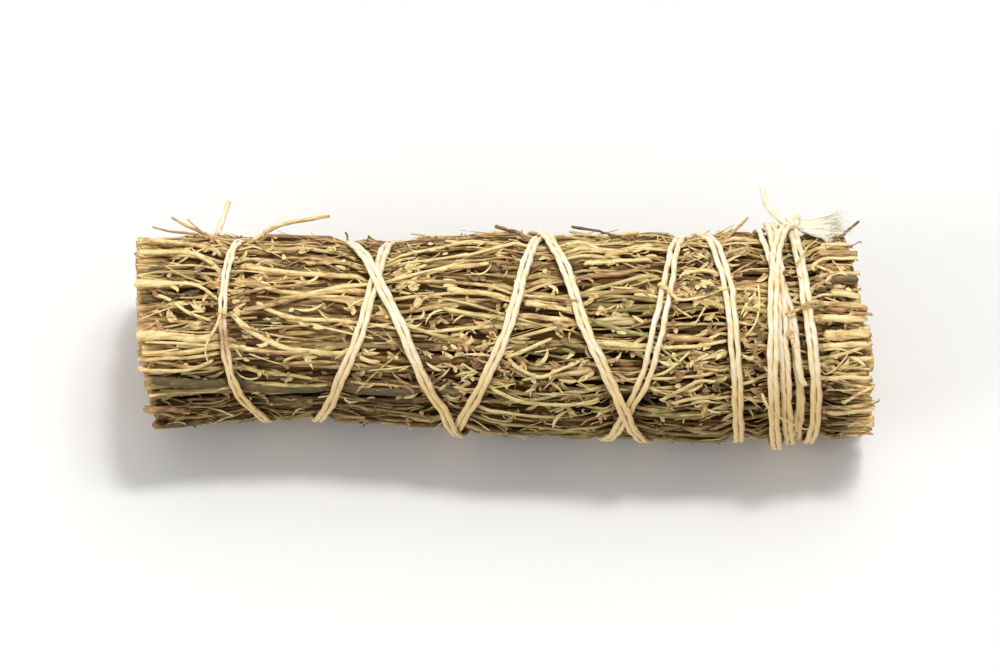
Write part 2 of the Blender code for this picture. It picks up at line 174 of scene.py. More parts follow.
def spot(x, wrap, height):
    """The point at a height over the roll's axis: y = axis - height sin a, z = axis + height cos a,
    where a is the wrap angle less the camera's elevation."""
    x, wrap, height = np.broadcast_arrays(x, wrap, height)
    polar = np.radians(wrap - SEEN_FROM)
    y = AXIS_Y + np.interp(x, STATION_X, STATION_BOW) - height * np.sin(polar)
    return np.stack([x, y, AXIS_Z + height * np.cos(polar)], axis=-1)


def outward(wrap):
    """The direction away from the roll's axis at a wrap angle."""
    polar = np.radians(wrap - SEEN_FROM)
    return np.stack([0.0 * polar, -np.sin(polar), np.cos(polar)], axis=-1)


def above_table(wrap, clearance):
    """The greatest height over the axis that still keeps a point this far over the table."""
    down = -np.cos(np.radians(wrap - SEEN_FROM))
    return np.where(down > 0.05, (AXIS_Z - clearance) / np.maximum(down, 0.05), 1.0)


def smooth_step(value):
    """Ease from 0 to 1."""
    value = np.clip(value, 0.0, 1.0)
    return value * value * (3.0 - 2.0 * value)


def smooth_route(knots, values, at):
    """A cubic through values at knots. Each slope is the harmonic mean of its neighbours, so the curve
    never overshoots."""
    step = np.diff(knots)
    rise = np.diff(values) / step
    slopes = np.zeros(len(knots))
    same = rise[:-1] * rise[1:] > 0.0
    slopes[1:-1][same] = 2.0 * rise[:-1][same] * rise[1:][same] / (rise[:-1] + rise[1:])[same]
    slopes[0], slopes[-1] = rise[0], rise[-1]
    cell = np.clip(np.searchsorted(knots, at, side="right") - 1, 0, len(step) - 1)
    t = (at - knots[cell]) / step[cell]
    start = (1.0 + 2.0 * t) * (1.0 - t) ** 2 * values[cell] + t * (1.0 - t) ** 2 * step[cell] * slopes[cell]
    end = t * t * (3.0 - 2.0 * t) * values[cell + 1] + t * t * (t - 1.0) * step[cell] * slopes[cell + 1]
    return start + end


knots, places = np.array(ROUTE, float).T
wound = np.arange(knots[0], knots[-1] + 0.01, ROUTE_STEP)
string_x = smooth_route(knots, places * MM, wound)
slope = np.gradient(string_x, np.radians(wound) * roll_radius(0.0))
half_band = (STRAND_PITCH / 2.0 + STRAND_WIDE) * np.sqrt(1.0 + slope * slope)
per_turn = 360.0 / ROUTE_STEP
from_zone = np.minimum(np.abs(wound % 360.0 - TABLE_ZONE[0]), np.abs(wound % 360.0 - TABLE_ZONE[1]))
on_table = (wound % 360.0 > TABLE_ZONE[0]) & (wound % 360.0 < TABLE_ZONE[1])
may_lift = np.where(on_table, 0.0, smooth_step(from_zone / TABLE_ZONE_RAMP))
string_lift = np.zeros(len(wound))
for turn in range(1, int(len(wound) / per_turn) + 1):
    here = np.arange(int(turn * per_turn), min(int((turn + 1) * per_turn), len(wound)))
    for earlier in range(1, turn + 1):
        there = here - int(round(earlier * per_turn))
        valid = there >= 0
        there = np.maximum(there, 0)
        reach = half_band[here] + half_band[there] + CROSSING_RAMP
        over = smooth_step((reach - np.abs(string_x[here] - string_x[there])) / CROSSING_RAMP)
        raised = may_lift[here] * over * (string_lift[there] + CROSSING_LIFT)
        string_lift[here] = np.where(valid, np.maximum(string_lift[here], raised), string_lift[here])


def strand(side):
    """One of the two strands: the string's middle line, moved half a pitch square to its own run."""
    lean = np.arctan(slope)
    pitch = STRAND_PITCH + sum(w * np.exp(-(((wound - at) / run) ** 2)) for at, run, w in PARTED)
    quick, slow, slowest = SWAY_RUNS
    sway = np.sin(wound / quick + side) + np.sin(wound / slow + 2.0 * side) + np.sin(wound / slowest)
    x = string_x + side * pitch / 2.0 * np.cos(lean) + STRAND_WOBBLE * sway
    wrap = wound - side * np.degrees(pitch / 2.0 * np.sin(lean) / roll_radius(0.0))
    from_top = (wrap + 180.0) % 360.0 - 180.0
    height = roll_radius(x) - STRING_SINK
    height = height - np.interp(x, TOP_SINK_X, TOP_SINK) * np.exp(-((from_top / TOP_SINK_REACH) ** 2))
    height = np.minimum(height, above_table(wrap, STRAND_THICK)) + string_lift
    return spot(x, wrap, height), outward(wrap)


def sweep(path, wide, thick, out, sides):
    """Closed tubes, many at once. A ring's point at angle a is centre + wide cos a side + thick sin a up,
    where up is the part of `out` square to the path; a point in the middle of each end closes it."""
    along = np.gradient(path, axis=1)
    along /= np.linalg.norm(along, axis=-1, keepdims=True) + 1e-12
    side = np.cross(along, out)
    side /= np.linalg.norm(side, axis=-1, keepdims=True) + 1e-12
    up = np.cross(side, along)
    angle = np.arange(sides) * 2.0 * math.pi / sides
    across = (wide[..., None] * np.cos(angle))[..., None] * side[:, :, None]
    ring = path[:, :, None] + across + (thick[..., None] * np.sin(angle))[..., None] * up[:, :, None]
    count, rings = path.shape[:2]
    points = np.concatenate([ring.reshape(count, rings * sides, 3), path[:, :1], path[:, -1:]], axis=1)
    k = np.arange(sides)
    after = (k + 1) % sides
    row = np.arange(rings - 1)[:, None] * sides
    a, b, c, d = row + k, row + sides + k, row + sides + after, row + after
    wall = np.concatenate([np.stack([a, b, c], -1), np.stack([a, c, d], -1)]).reshape(-1, 3)
    first = np.stack([np.full(sides, rings * sides), k, after], -1)
    last_row = (rings - 1) * sides
    last = np.stack([np.full(sides, rings * sides + 1), last_row + after, last_row + k], -1)
    return points, np.concatenate([wall, first, last])


def on_rings(value, sides):
    """A value for each ring, given to the ring's corners and to the middles of the two ends."""
    return np.concatenate([np.repeat(value, sides, axis=1), value[:, :1], value[:, -1:]], axis=1)


SMALL_SHAPE = 50


def make_piece(name, batches, look, slot, *nodes):
    """One object from batches of like closed shapes: their points, the triangles of one shape, and marks
    for each point. Shapes of few faces keep their edges."""
    points, triangles, smooth, marks, start = [], [], [], {}, 0
    for shapes, pattern, shape_marks in batches:
        count, size = shapes.shape[:2]
        first = start + np.arange(count)[:, None, None] * size
        points.append(shapes.reshape(-1, 3))
        triangles.append((pattern[None] + first).reshape(-1, 3))
        smooth.append(np.full(count * len(pattern), len(pattern) > SMALL_SHAPE))
        for mark, value in shape_marks.items():
            marks.setdefault(mark, []).append((start, value.reshape(-1)))
        start += count * size
    points, triangles, smooth = map(np.concatenate, (points, triangles, smooth))
    mesh = bpy.data.meshes.new(name)
    mesh.vertices.add(len(points))
    mesh.loops.add(triangles.size)
    mesh.polygons.add(len(triangles))
    mesh.vertices.foreach_set("co", points.astype(np.float32).ravel())
    mesh.loops.foreach_set("vertex_index", triangles.astype(np.int32).ravel())
    mesh.polygons.foreach_set("loop_start", np.arange(0, triangles.size, 3, dtype=np.int32))
    mesh.polygons.foreach_set("use_smooth", smooth)
    for mark, spans in marks.items():
        values = np.zeros(len(points), np.float32)
        for at, value in spans:
            values[at:at + len(value)] = value
        mesh.attributes.new(mark, "FLOAT", "POINT").data.foreach_set("value", values)
    mesh.update(calc_edges=True)
    mesh.materials.append(look)
    obj = bpy.data.objects.new(name, mesh)
    bpy.context.scene.collection.objects.link(obj)
    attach(obj, "root")
    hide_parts(*nodes)


class Shade:
    """A shader socket with Python's operators: an expression on values adds its Math nodes."""

    def __init__(self, tree, socket=None):
        self.tree, self.socket = tree, socket

    def node(self, kind, settings=None, values=None, output=0):
        """Any node: its settings first (a ramp's stops among them), then each input's value or link."""
        made = self.tree.nodes.new("ShaderNode" + kind)
        for name, value in (settings or {}).items():
            if name == "stops":
                band = made.color_ramp.elements
                for place, colour in value:
                    stop = band.new(place)
                    stop.color = (*colour, 1.0)
                band.remove(band[0])
                band.remove(band[-1])
            else:
                setattr(made, name, value)
        for name, value in (values or {}).items():
            if isinstance(value, Shade):
                self.tree.links.new(value.socket, made.inputs[name])
            else:
                made.inputs[name].default_value = value
        return Shade(self.tree, made.outputs[output])

    def maths(self, operation, first, second):
        return self.node("Math", {"operation": operation}, {0: first, 1: second})

    def __add__(self, other):
        return self.maths("ADD", self, other)

    __radd__ = __add__

    def __sub__(self, other):
        return self.maths("SUBTRACT", self, other)

    def __rsub__(self, other):
        return self.maths("SUBTRACT", other, self)

    def __mul__(self, other):
        return self.maths("MULTIPLY", self, other)

    __rmul__ = __mul__

    def mark(self, name):
        """A value that the piece's mesh carries at its points."""
        return self.node("Attribute", {"attribute_name": name}, output=2)

    def clamped(self):
        return self.node("Clamp", values={0: self})

    def noise(self, stretch, detail=3.0):
        """Cloudy values from 0 to 1 at so many patches a metre along X, Y and Z."""
        here = self.node("TexCoord", output=3)
        scaled = self.node("VectorMath", {"operation": "MULTIPLY"}, {0: here, 1: stretch})
        return self.node("TexNoise", values={"Vector": scaled, "Scale": 1.0, "Detail": detail})

    def blend(self, share, first, second, how="MIX"):
        """Two colours mixed by a share."""
        made = self.tree.nodes.new("ShaderNodeMix")
        made.data_type, made.blend_type = "RGBA", how
        for name, value in (("Factor_Float", share), ("A_Color", first), ("B_Color", second)):
            socket = next(s for s in made.inputs if s.identifier == name)
            if isinstance(value, Shade):
                self.tree.links.new(value.socket, socket)
            else:
                socket.default_value = value if name == "Factor_Float" else (*value, 1.0)
        return Shade(self.tree, next(s for s in made.outputs if s.identifier == "Result_Color"))


def paint(red, green, blue):
    """A colour given as it looks on a screen, 0 to 255, as the shader's linear one."""
    return tuple((value / 255.0) ** 2.2 for value in (red, green, blue))


def new_look(name):
    """A material with its shader and the start of its shader maths."""
    material = bpy.data.materials.new(name)
    material.use_nodes = True
    shader = material.node_tree.nodes["Principled BSDF"]
    return material, shader, Shade(material.node_tree)


def wear(look, shader, **sockets):
    """Link values into the shader's sockets, named with _ for a space."""
    for name, value in sockets.items():
        look.tree.links.new(value.socket, shader.inputs[name.replace("_", " ")])


cotton, cotton_shader, look = new_look("cotton_string")
ply = look.mark("ply")
inner = look.mark("inner")
soiled, loose = look.mark("soiled"), look.mark("loose")
patches = look.noise((420.0, 420.0, 420.0), 2.0)
specks = look.noise((2600.0, 2600.0, 2600.0), 3.0)
valley = (0.5 - 0.5 * ply).clamped()
spun = look.blend((patches * 2.6 - 0.90).clamped(), paint(255, 250, 230), paint(248, 225, 172))
# Painted shade: the string is yellower and darker on the side of the roll away from the light
colour_with_shade = look.blend((look.mark("dull") * 1.9).clamped(), spun, paint(232, 204, 146))
clean = look.blend(loose, colour_with_shade, paint(255, 249, 230))
# Painted shade in the valleys between the plies, broken up by specks
shaded = look.blend((valley * 0.42 * specks).clamped(), clean, paint(206, 172, 112))
# Painted shade: brown dashes on each strand's side that faces its twin, where the two strands meet
dashes = look.noise((1500.0, 700.0, 700.0), 1.0)
strand_gap_shade = look.blend((inner * (dashes * 3.2 - 1.15).clamped()).clamped(), shaded, paint(168, 124, 66))
stained = look.blend((soiled * (0.3 + specks)).clamped(), strand_gap_shade, paint(176, 122, 86))
fibre = look.noise((5200.0, 5200.0, 5200.0), 2.0)
relief = look.node("Bump", values={"Strength": 0.6, "Distance": 0.00008, "Height": ply * 0.35 + fibre})
wear(look, cotton_shader, Base_Color=stained, Normal=relief)
cotton_shader.inputs["Roughness"].default_value = 0.92
cotton_shader.inputs["Sheen Weight"].default_value = 0.25
cotton_shader.inputs["Sheen Roughness"].default_value = 0.6

STAIN_AT, STAIN_REACH, STAINED_RUN = (-43.4 * MM, 96.0), 2.6 * MM, (1080.0, 1240.0)
# Painted shade: string and herbs are darker on the side of the roll turned away from the light at wrap 20
LIT_SIDE, SHADE_FROM, SHADE_OVER = 20.0, 60.0, 90.0
UNEVEN, UNEVEN_RUNS = 0.05, (0.9 * MM, 0.37 * MM)
INNER_FROM, INNER_OVER = 0.55, 0.4
FOLD_RADIUS, FOLD_REACH = 1.0 * MM, 1.8 * MM
FOLD_SWEEP, FOLD_RINGS, FOLD_AIM = (-35.0, 215.0), 26, 6


def away_from_light(wrap):
    """How much painted shade a wrap angle gets: 0 on the side facing the light, rising to 1 on the other."""
    from_lit = np.abs((wrap - LIT_SIDE + 180.0) % 360.0 - 180.0)
    return smooth_step((from_lit - SHADE_FROM) / SHADE_OVER)


def twine(path, out, twin_way, soil, girth=1.0):
    """A run of the cotton twine: an oval section that its two plies turn round, as `make_piece` wants it."""
    run = np.concatenate([[0.0], np.cumsum(np.linalg.norm(np.diff(path, axis=0), axis=1))])
    angle = np.arange(STRAND_SIDES) * 2.0 * math.pi / STRAND_SIDES
    crest = np.cos(2.0 * angle[None] - 2.0 * math.pi * run[:, None] / PLY_LAY)
    plain = np.ones((1, len(path)))
    points, pattern = sweep(path[None], STRAND_WIDE * plain, STRAND_THICK * plain, out[None], STRAND_SIDES)
    centres = np.concatenate([np.repeat(path, STRAND_SIDES, axis=0), path[:1], path[-1:]])
    uneven = UNEVEN * np.sin(run / UNEVEN_RUNS[0]) + UNEVEN * np.sin(run / UNEVEN_RUNS[1])
    size = (girth + uneven)[:, None] + PLY_SWELL * crest
    swell = np.concatenate([size.ravel(), [1.0, 1.0]])
    points = centres + (points[0] - centres) * swell[:, None]
    points[:, 2] = np.maximum(points[:, 2], 0.0)
    facing = np.cos(angle)[None] * twin_way[:, None]
    wrap = np.degrees(np.arctan2(AXIS_Y - points[:, 1], points[:, 2] - AXIS_Z)) + SEEN_FROM
    marks = {
        "ply": np.concatenate([crest.ravel(), [0.0, 0.0]]),
        "inner": np.concatenate([smooth_step((facing.ravel() - INNER_FROM) / INNER_OVER), [0.0, 0.0]]),
        "soiled": np.concatenate([np.repeat(soil, STRAND_SIDES), [0.0, 0.0]]),
        # painted shade on the side of the roll away from the light
        "dull": away_from_light(wrap),
    }
    return points[None], pattern, marks


strand_left, out_left = strand(+1.0)
strand_right, out_right = strand(-1.0)
heading = strand_left[0] - strand_left[FOLD_AIM]
heading = heading / np.linalg.norm(heading)
aside = strand_left[0] - strand_right[0]
aside = aside / np.linalg.norm(aside)
fold_angle = np.radians(np.linspace(*FOLD_SWEEP, FOLD_RINGS))[:, None]
fold_hub = (strand_left[0] + strand_right[0]) / 2.0 + heading * FOLD_REACH
fold = fold_hub + FOLD_RADIUS * (np.cos(fold_angle) * aside + np.sin(fold_angle) * heading)
string_path = np.concatenate([strand_left[::-1], fold, strand_right])
string_out = np.concatenate([out_left[::-1], np.repeat(out_left[:1], len(fold), axis=0), out_right])
twin = np.concatenate([np.full(len(wound), 1.0), np.zeros(len(fold)), np.full(len(wound), -1.0)])
# Seen along the left strand's reversed run, its twin lies on the section's +side, and along the right
# strand on its -side
stain_from = np.hypot(string_x - STAIN_AT[0], ((wound % 360.0) - STAIN_AT[1]) / 57.3 * roll_radius(0.0))
first_turn = (wound > STAINED_RUN[0]) & (wound < STAINED_RUN[1])
soil = np.where(first_turn, np.exp(-((stain_from / STAIN_REACH) ** 2)), 0.0)
soil = np.concatenate([soil[::-1], np.zeros(len(fold)), soil])
slim = 1.0 - SLIMMER * np.exp(-(((wound - SLIM_TURN) / SLIM_REACH) ** 2))
girth = np.concatenate([slim[::-1], np.ones(len(fold)), slim])
string_batch = twine(string_path, string_out, twin, soil, girth)


def catmull(ends, samples):
    """A curve through all the places given: a Catmull-Rom spline, sampled evenly."""
    ends = np.concatenate([2.0 * ends[:1] - ends[1:2], ends, 2.0 * ends[-1:] - ends[-2:-1]])
    t = np.linspace(0.0, len(ends) - 3.0 - 1e-6, samples)
    i = t.astype(int)
    t = (t - i)[:, None]
    p0, p1, p2, p3 = ends[i], ends[i + 1], ends[i + 2], ends[i + 3]
    return 0.5 * (2.0 * p1 + (p2 - p0) * t + (2.0 * p0 - 5.0 * p1 + 4.0 * p2 - p3) * t * t
                  + (3.0 * p1 - p0 - 3.0 * p2 + p3) * t ** 3)


FREE_RINGS, KNOT_RINGS = 40, 90


def free_end(places):
    """A short loose run of the twine through a few chosen places."""
    return catmull(spot(*(np.array(places, float) * (MM, 1.0, MM)).T), FREE_RINGS)


def loose_twine(path):
    """The twine along a free path, with no twin beside it."""
    zero = np.zeros(len(path))
    return twine(path, np.repeat(NEARER[None], len(path), axis=0), zero, zero)


# Places along the loose ends: x in mm, wrap angle, height over the axis in mm
TAIL = [(43.9, 12.0, 17.3), (43.0, 5.0, 17.9), (41.9, -2.0, 18.9), (40.8, -5.0, 20.6), (40.1, -5.0, 23.2)]
START_END = [(-44.9, -4.0, 14.4), (-44.6, -7.0, 16.0), (-43.9, -9.0, 18.0), (-43.2, -9.0, 20.3)]
STUB = [(44.6, 97.0, 16.7), (44.9, 107.0, 16.8), (45.3, 113.0, 16.8), (45.9, 117.0, 16.7)]
KNOT_AT, KNOT_TURN = (44.9, 3.0, 17.9), 0.29 * MM
turn_t = np.linspace(0.0, 2.0 * math.pi, KNOT_RINGS)
knot_shape = np.stack([
    np.sin(turn_t) + 2.0 * np.sin(2.0 * turn_t),
    np.cos(turn_t) - 2.0 * np.cos(2.0 * turn_t),
    -1.3 * np.sin(3.0 * turn_t),
], axis=1)
knot_hub = spot(KNOT_AT[0] * MM, KNOT_AT[1], KNOT_AT[2] * MM)
knot_path = knot_hub + knot_shape @ np.array([[1.0, 0.0, 0.0], UP, NEARER]) * KNOT_TURN

# The second loose end is untwisted: wisps and fine fibres that fan out along the roll's upper edge, with a
# lobe and a tongue hanging over it. Each row: how many, how thick, how wide they fan, how far back they go,
# and the places that they pass, along and above the axis, all in mm
FRAYED = [
    (110, 0.075, 0.9, 1.4, [(44.8, 17.1), (46.7, 16.9), (48.8, 16.7), (51.0, 17.0), (53.2, 17.7)]),
    (110, 0.230, 0.8, 0.8, [(44.8, 16.9), (46.6, 16.6), (48.6, 16.5), (50.8, 16.7), (52.6, 17.1)]),
    (54, 0.190, 0.5, 0.0, [(46.4, 16.2), (48.0, 15.7), (49.4, 15.2), (50.3, 14.8), (51.1, 14.7)]),
    (20, 0.150, 0.2, 0.0, [(48.8, 15.4), (49.6, 15.0), (50.0, 14.4), (50.1, 13.8), (50.0, 13.2)]),
    (60, 0.060, 0.7, 0.0, [(45.6, 16.4), (48.0, 15.6), (50.0, 15.0), (51.4, 14.8)]),
    (40, 0.060, 0.8, 0.8, [(46.6, 16.6), (49.4, 16.2), (52.2, 15.8), (54.6, 15.2)]),
]
FIBRE_RINGS, FIBRE_SIDES = 9, 4
SHORTEST_FIBRE, FAN_EDGE, FAN_SHARE = 0.55, 1.7, 0.6
FIBRE_WAVE, WAVES, WAVE_PHASE = 0.22 * MM, (5.0, 16.0), 6.3
FLUFF = (0.15, 1.1)
COTTON_SEED = 5
rng = np.random.default_rng(COTTON_SEED)


def pictured(along, above):
    """The place on the roll that shows at a place of the picture, both in metres from the axis's middle."""
    radius = roll_radius(along)
    above = above - np.interp(along, STATION_X, STATION_BOW) * math.sin(elevation)
    height = np.maximum(radius, np.abs(above))
    facing = np.sqrt(np.maximum(height ** 2 - above ** 2, 0.0))
    nearness = 1.0 - facing / camera_distance
    return along * nearness, np.degrees(np.arccos(np.clip(above * nearness / height, -1.0, 1.0))), height


def spread(count, low, high):
    """Random values between two bounds."""
    return low + (high - low) * rng.random(count)


def frayed_end():
    """Cotton fibres as one batch: each keeps to its share of the fan, which widens along the way, and waves
    a little."""
    paths, radii = [], []
    for count, thick, fan, back, places in FRAYED:
        middle = catmull(np.array(places) * MM, FIBRE_RINGS)
        evenly = np.linspace(0.0, 1.0, FIBRE_RINGS)
        t = evenly[None] * (SHORTEST_FIBRE + (1.0 - SHORTEST_FIBRE) * rng.random((count, 1)))
        along = np.stack([np.interp(t, evenly, middle[:, k]) for k in (0, 1)], axis=-1)
        share = np.clip(rng.normal(size=(count, 1)), -FAN_EDGE, FAN_EDGE) * FAN_SHARE
        waves = spread(count, *WAVES)[:, None]
        wave = FIBRE_WAVE * t * np.sin(waves * t + WAVE_PHASE * rng.random((count, 1)))
        across = share * (0.35 + fan * t ** 1.3) * MM + wave
        x, wrap, height = pictured(along[..., 0], along[..., 1] + across)
        facing = height * np.sin(np.radians(wrap)) - back * MM * rng.random((count, 1)) * (0.2 + t)
        above = height * np.cos(np.radians(wrap))
        fluff = (FLUFF[0] + FLUFF[1] * rng.random((count, 1)) * t) * MM
        height = np.maximum(np.hypot(above, facing), roll_radius(x)) + fluff
        paths.append(spot(x, np.degrees(np.arctan2(facing, above)), height))
        thinner = 1.0 - 0.75 * evenly ** 2
        radii.append(thick * MM * (0.7 + 0.6 * rng.random((count, 1))) * thinner)
    path, thick = np.concatenate(paths), np.concatenate(radii)
    shapes, pattern = sweep(path, thick, thick, np.broadcast_to(NEARER, path.shape), FIBRE_SIDES)
    blank = np.zeros(shapes.shape[:2])
    return shapes, pattern, {"ply": blank + 1.0, "inner": blank, "soiled": blank, "loose": blank + 1.0}


make_piece(
    "binding_twine",
    [string_batch, loose_twine(free_end(TAIL)), loose_twine(free_end(START_END)),
     loose_twine(free_end(STUB)), loose_twine(knot_path), frayed_end()],
    cotton, "cotton_string", "binding_string",
)


# Herb sprigs
# Forty-eight dried sprigs of a fine woody herb laid lengthwise, each a brown stem with thin side twigs,
# curled leaf scraps and buds. They are trimmed together at both ends, and only the string holds them.
LEFT_END, RIGHT_END = -56.1 * MM, 55.4 * MM
LEFT_LEAN, RIGHT_LEAN = (0.05, 0.15), (0.21, 0.06)
LEFT_RAGGED, RIGHT_RAGGED = 0.24 * MM, 0.55 * MM
BITE, BITE_REACH, HALF_STRING = 0.62 * MM, 1.2 * MM, 0.9 * MM
BITE_COLUMN, BITE_ROWS = 0.4 * MM, 120
TABLE_GAP, TABLE_PRESS, DEPTH_SHARE = 0.30 * MM, 0.5 * MM, 0.8
SKIN_SWELL, PRESSED_SHARE = 0.10 * MM, 0.8
# Painted shade on the herbs: it starts 0.3 mm deep and is full 1.8 mm further in; the side away from the
# light gets half of it more; it fades out within 3.5 mm of the cut ends
SHADE_DEPTH, SHADE_FREE_SKIN, SHADE_FREE_END = 1.8 * MM, 0.3 * MM, 3.5 * MM
SHADED_SIDE = 0.50
HERB_SEED = 7
rng = np.random.default_rng(HERB_SEED)

columns = np.arange(-60.0 * MM, 60.0 * MM, BITE_COLUMN)
bite_rows = np.round(wound / 360.0 * BITE_ROWS).astype(int) % BITE_ROWS
string_apart = np.abs(columns[None] - string_x[:, None]) / np.sqrt(1.0 + slope * slope)[:, None]
bite_map = np.full((BITE_ROWS, len(columns)), 1.0)
np.minimum.at(bite_map, bite_rows, string_apart)
bite_map = np.exp(-((np.maximum(bite_map - HALF_STRING, 0.0) / BITE_REACH) ** 2))


def string_bite(x, wrap):
    """How far the string presses the herbs in, 0 to 1, read from the map between its four nearest places."""
    column = np.clip((x - columns[0]) / BITE_COLUMN, 0.0, len(columns) - 1.001)
    row = (wrap / 360.0 * BITE_ROWS) % BITE_ROWS
    c, r = column.astype(int), row.astype(int)
    u, v = column - c, row - r
    below = bite_map[r % BITE_ROWS, c] * (1.0 - u) + bite_map[r % BITE_ROWS, c + 1] * u
    above = bite_map[(r + 1) % BITE_ROWS, c] * (1.0 - u) + bite_map[(r + 1) % BITE_ROWS, c + 1] * u
    return below * (1.0 - v) + above * v


def lay(x, wrap, depth, half_thick):
    """Height over the axis of something this deep in the roll: the outer skin, with slow swells, less what
    the string presses in, and never lower than the table allows."""
    turn, along = np.radians(wrap), x / MM
    swell = np.sin(3.0 * turn + along / 9.0) + np.sin(5.0 * turn - along / 6.0)
    swell = swell + np.sin(along / 4.0 + 2.0 * turn)
    bitten = string_bite(x, wrap)
    pressed = (BITE + PRESSED_SHARE * half_thick) * bitten
    height = roll_radius(x) + SKIN_SWELL * swell * (1.0 - bitten) - pressed - depth
    clearance = TABLE_GAP + TABLE_PRESS * bitten + half_thick + DEPTH_SHARE * depth
    return np.minimum(height, above_table(wrap, clearance))


def end_plane(middle, lean, above):
    """Where a trimmed end lies along the roll: the cut leans, by one share over the middle and another
    below it."""
    return middle - np.where(above > 0.0, lean[0], lean[1]) * above


def darkness(deep, x, wrap):
    """How much painted shade darkens something this deep in the roll, 0 to 1: more the deeper it lies and on
    the side away from the light, fading out at the cut ends."""
    from_end = np.minimum(x - LEFT_END, RIGHT_END - x)
    shade_share = np.clip((deep - SHADE_FREE_SKIN) / SHADE_DEPTH + SHADED_SIDE * away_from_light(wrap), 0.0, 1.0)
    return shade_share * smooth_step(from_end / SHADE_FREE_END)


def ragged(count):
    """How unevenly the ends were trimmed: most close to the cut, none far from it."""
    return np.clip(rng.normal(size=count), -1.6, 1.6)


def trimmed(x_from, x_to, wrap, depth):
    """Both ends of a run brought inside the cut planes: clean on the left, ragged on the right."""
    above = (roll_radius(0.0) - depth) * np.cos(np.radians(wrap))
    left = end_plane(LEFT_END, LEFT_LEAN, above) + LEFT_RAGGED * ragged(len(x_from))
    right = end_plane(RIGHT_END, RIGHT_LEAN, above) + RIGHT_RAGGED * ragged(len(x_from))
    return np.clip(x_from, left, right), np.clip(x_to, left, right)


def even_places(count, seed_place):
    """Places spread evenly over the roll: x and wrap step by the two ratios of the plastic number."""
    i = np.arange(count) + seed_place
    return (i * 0.7548776662) % 1.0, (i * 0.5698402909) % 1.0


def swollen(along, pitch, phase, size):
    """A twig's nodes: it swells for a short way at every pitch along it."""
    from_node = np.abs((along / pitch + phase) % 1.0 - 0.5) * pitch
    return 1.0 + size * np.exp(-((from_node / (0.5 * MM)) ** 2))


SHORTEST_TWIG, NODE_PITCH, NODE_PITCH_SPREAD, NODE_SWELL = 3.0 * MM, 3.5 * MM, 3.0 * MM, 0.28
WAVE_RUN, BENDS, BEND_WITHIN, BEND = 17.0 * MM, 4, 36.0 * MM, 0.10
DIVE, DIVE_RUN, SINK, SINK_RUN = 0.9 * MM, 2.2 * MM, 0.12 * MM, 9.0 * MM
ROUGH_BARK, SPOTS, BROKEN_END, LOWEST = 0.07, 0.05, 0.3, 0.1 * MM


def twig_batch(start, heading, length, lean, depth, radius, taper, wave, spring, tint, rings, sides):
    """Twigs laid on the roll: x runs on evenly, and the wrap follows the lean, a sine wave and a few slight
    bends. The base dives into the roll, and the tip may spring off it. The radius tapers, and swells at the
    nodes."""
    count = len(length)
    t = np.concatenate([[0.0, 0.012], np.linspace(0.04, 0.96, rings - 4), [0.988, 1.0]])[None]
    x_from, x_to = start[0], start[0] + heading * length
    x_from, x_to = trimmed(x_from, x_to, start[1], depth)
    keep = np.abs(x_to - x_from) > SHORTEST_TWIG
    cut_from = np.abs(x_from - start[0]) > 1e-6
    cut_to = np.abs(x_to - start[0] - heading * length) > 1e-6
    phase, pitch = rng.random((2, count, 1))
    pitch = NODE_PITCH + NODE_PITCH_SPREAD * pitch
    second = rng.random((count, 1))
    x = x_from[:, None] + (x_to - x_from)[:, None] * t
    along = np.abs(x - x_from[:, None])
    arc = lean[:, None] * along + wave[:, None] * np.sin(2.0 * math.pi * (along / WAVE_RUN + phase))
    for _ in range(BENDS):
        bend_at = rng.random((count, 1)) * BEND_WITHIN
        turned = BEND * rng.normal(size=(count, 1))
        arc = arc + turned * np.maximum(0.0, along - bend_at)
    wrap = start[1][:, None] + np.degrees(arc / roll_radius(x))
    dive = np.where(cut_from, 0.0, 1.0)[:, None] * DIVE * np.exp(-along / DIVE_RUN)
    deep = depth[:, None] + dive + SINK * np.sin(2.0 * math.pi * (along / SINK_RUN + second))
    thin = (1.0 - taper[:, None] * t) * swollen(along, pitch, phase, NODE_SWELL)
    end = np.minimum(1.0, 0.55 + (1.0 - t) * 25.0)
    thin = thin * np.where(cut_to[:, None], np.minimum(1.0, 0.86 + (1.0 - t) * 20.0), end)
    size = radius[:, None] * thin
    sprung = np.where(cut_to, 0.0, spring)[:, None] * t ** 4 * (np.cos(np.radians(wrap - SEEN_FROM)) > -0.2)
    path = spot(x, wrap, lay(x, wrap, deep, size) + sprung)
    shapes, pattern = sweep(path, size, size, outward(wrap), sides)
    rough = 1.0 + ROUGH_BARK * rng.normal(size=(count, rings * sides))
    centres = np.repeat(path, sides, axis=1)
    shapes[:, :-2] = centres + (shapes[:, :-2] - centres) * rough[..., None]
    shapes[..., 2] = np.maximum(shapes[..., 2], LOWEST)
    ends = np.zeros((count, rings))
    ends[:, 0], ends[:, -1] = np.where(cut_from, 1.0, BROKEN_END), np.where(cut_to, 1.0, BROKEN_END)
    marks = {
        "tint": on_rings(tint[:, None] + SPOTS * rng.normal(size=(count, rings)), sides),
        "buried": on_rings(darkness(deep, x, wrap), sides),
        "cut": on_rings(ends, sides),
    }
    return [shapes[keep], pattern, {name: mark[keep] for name, mark in marks.items()}], wrap[keep, rings // 2]


FLAT_SCRAP = 0.22


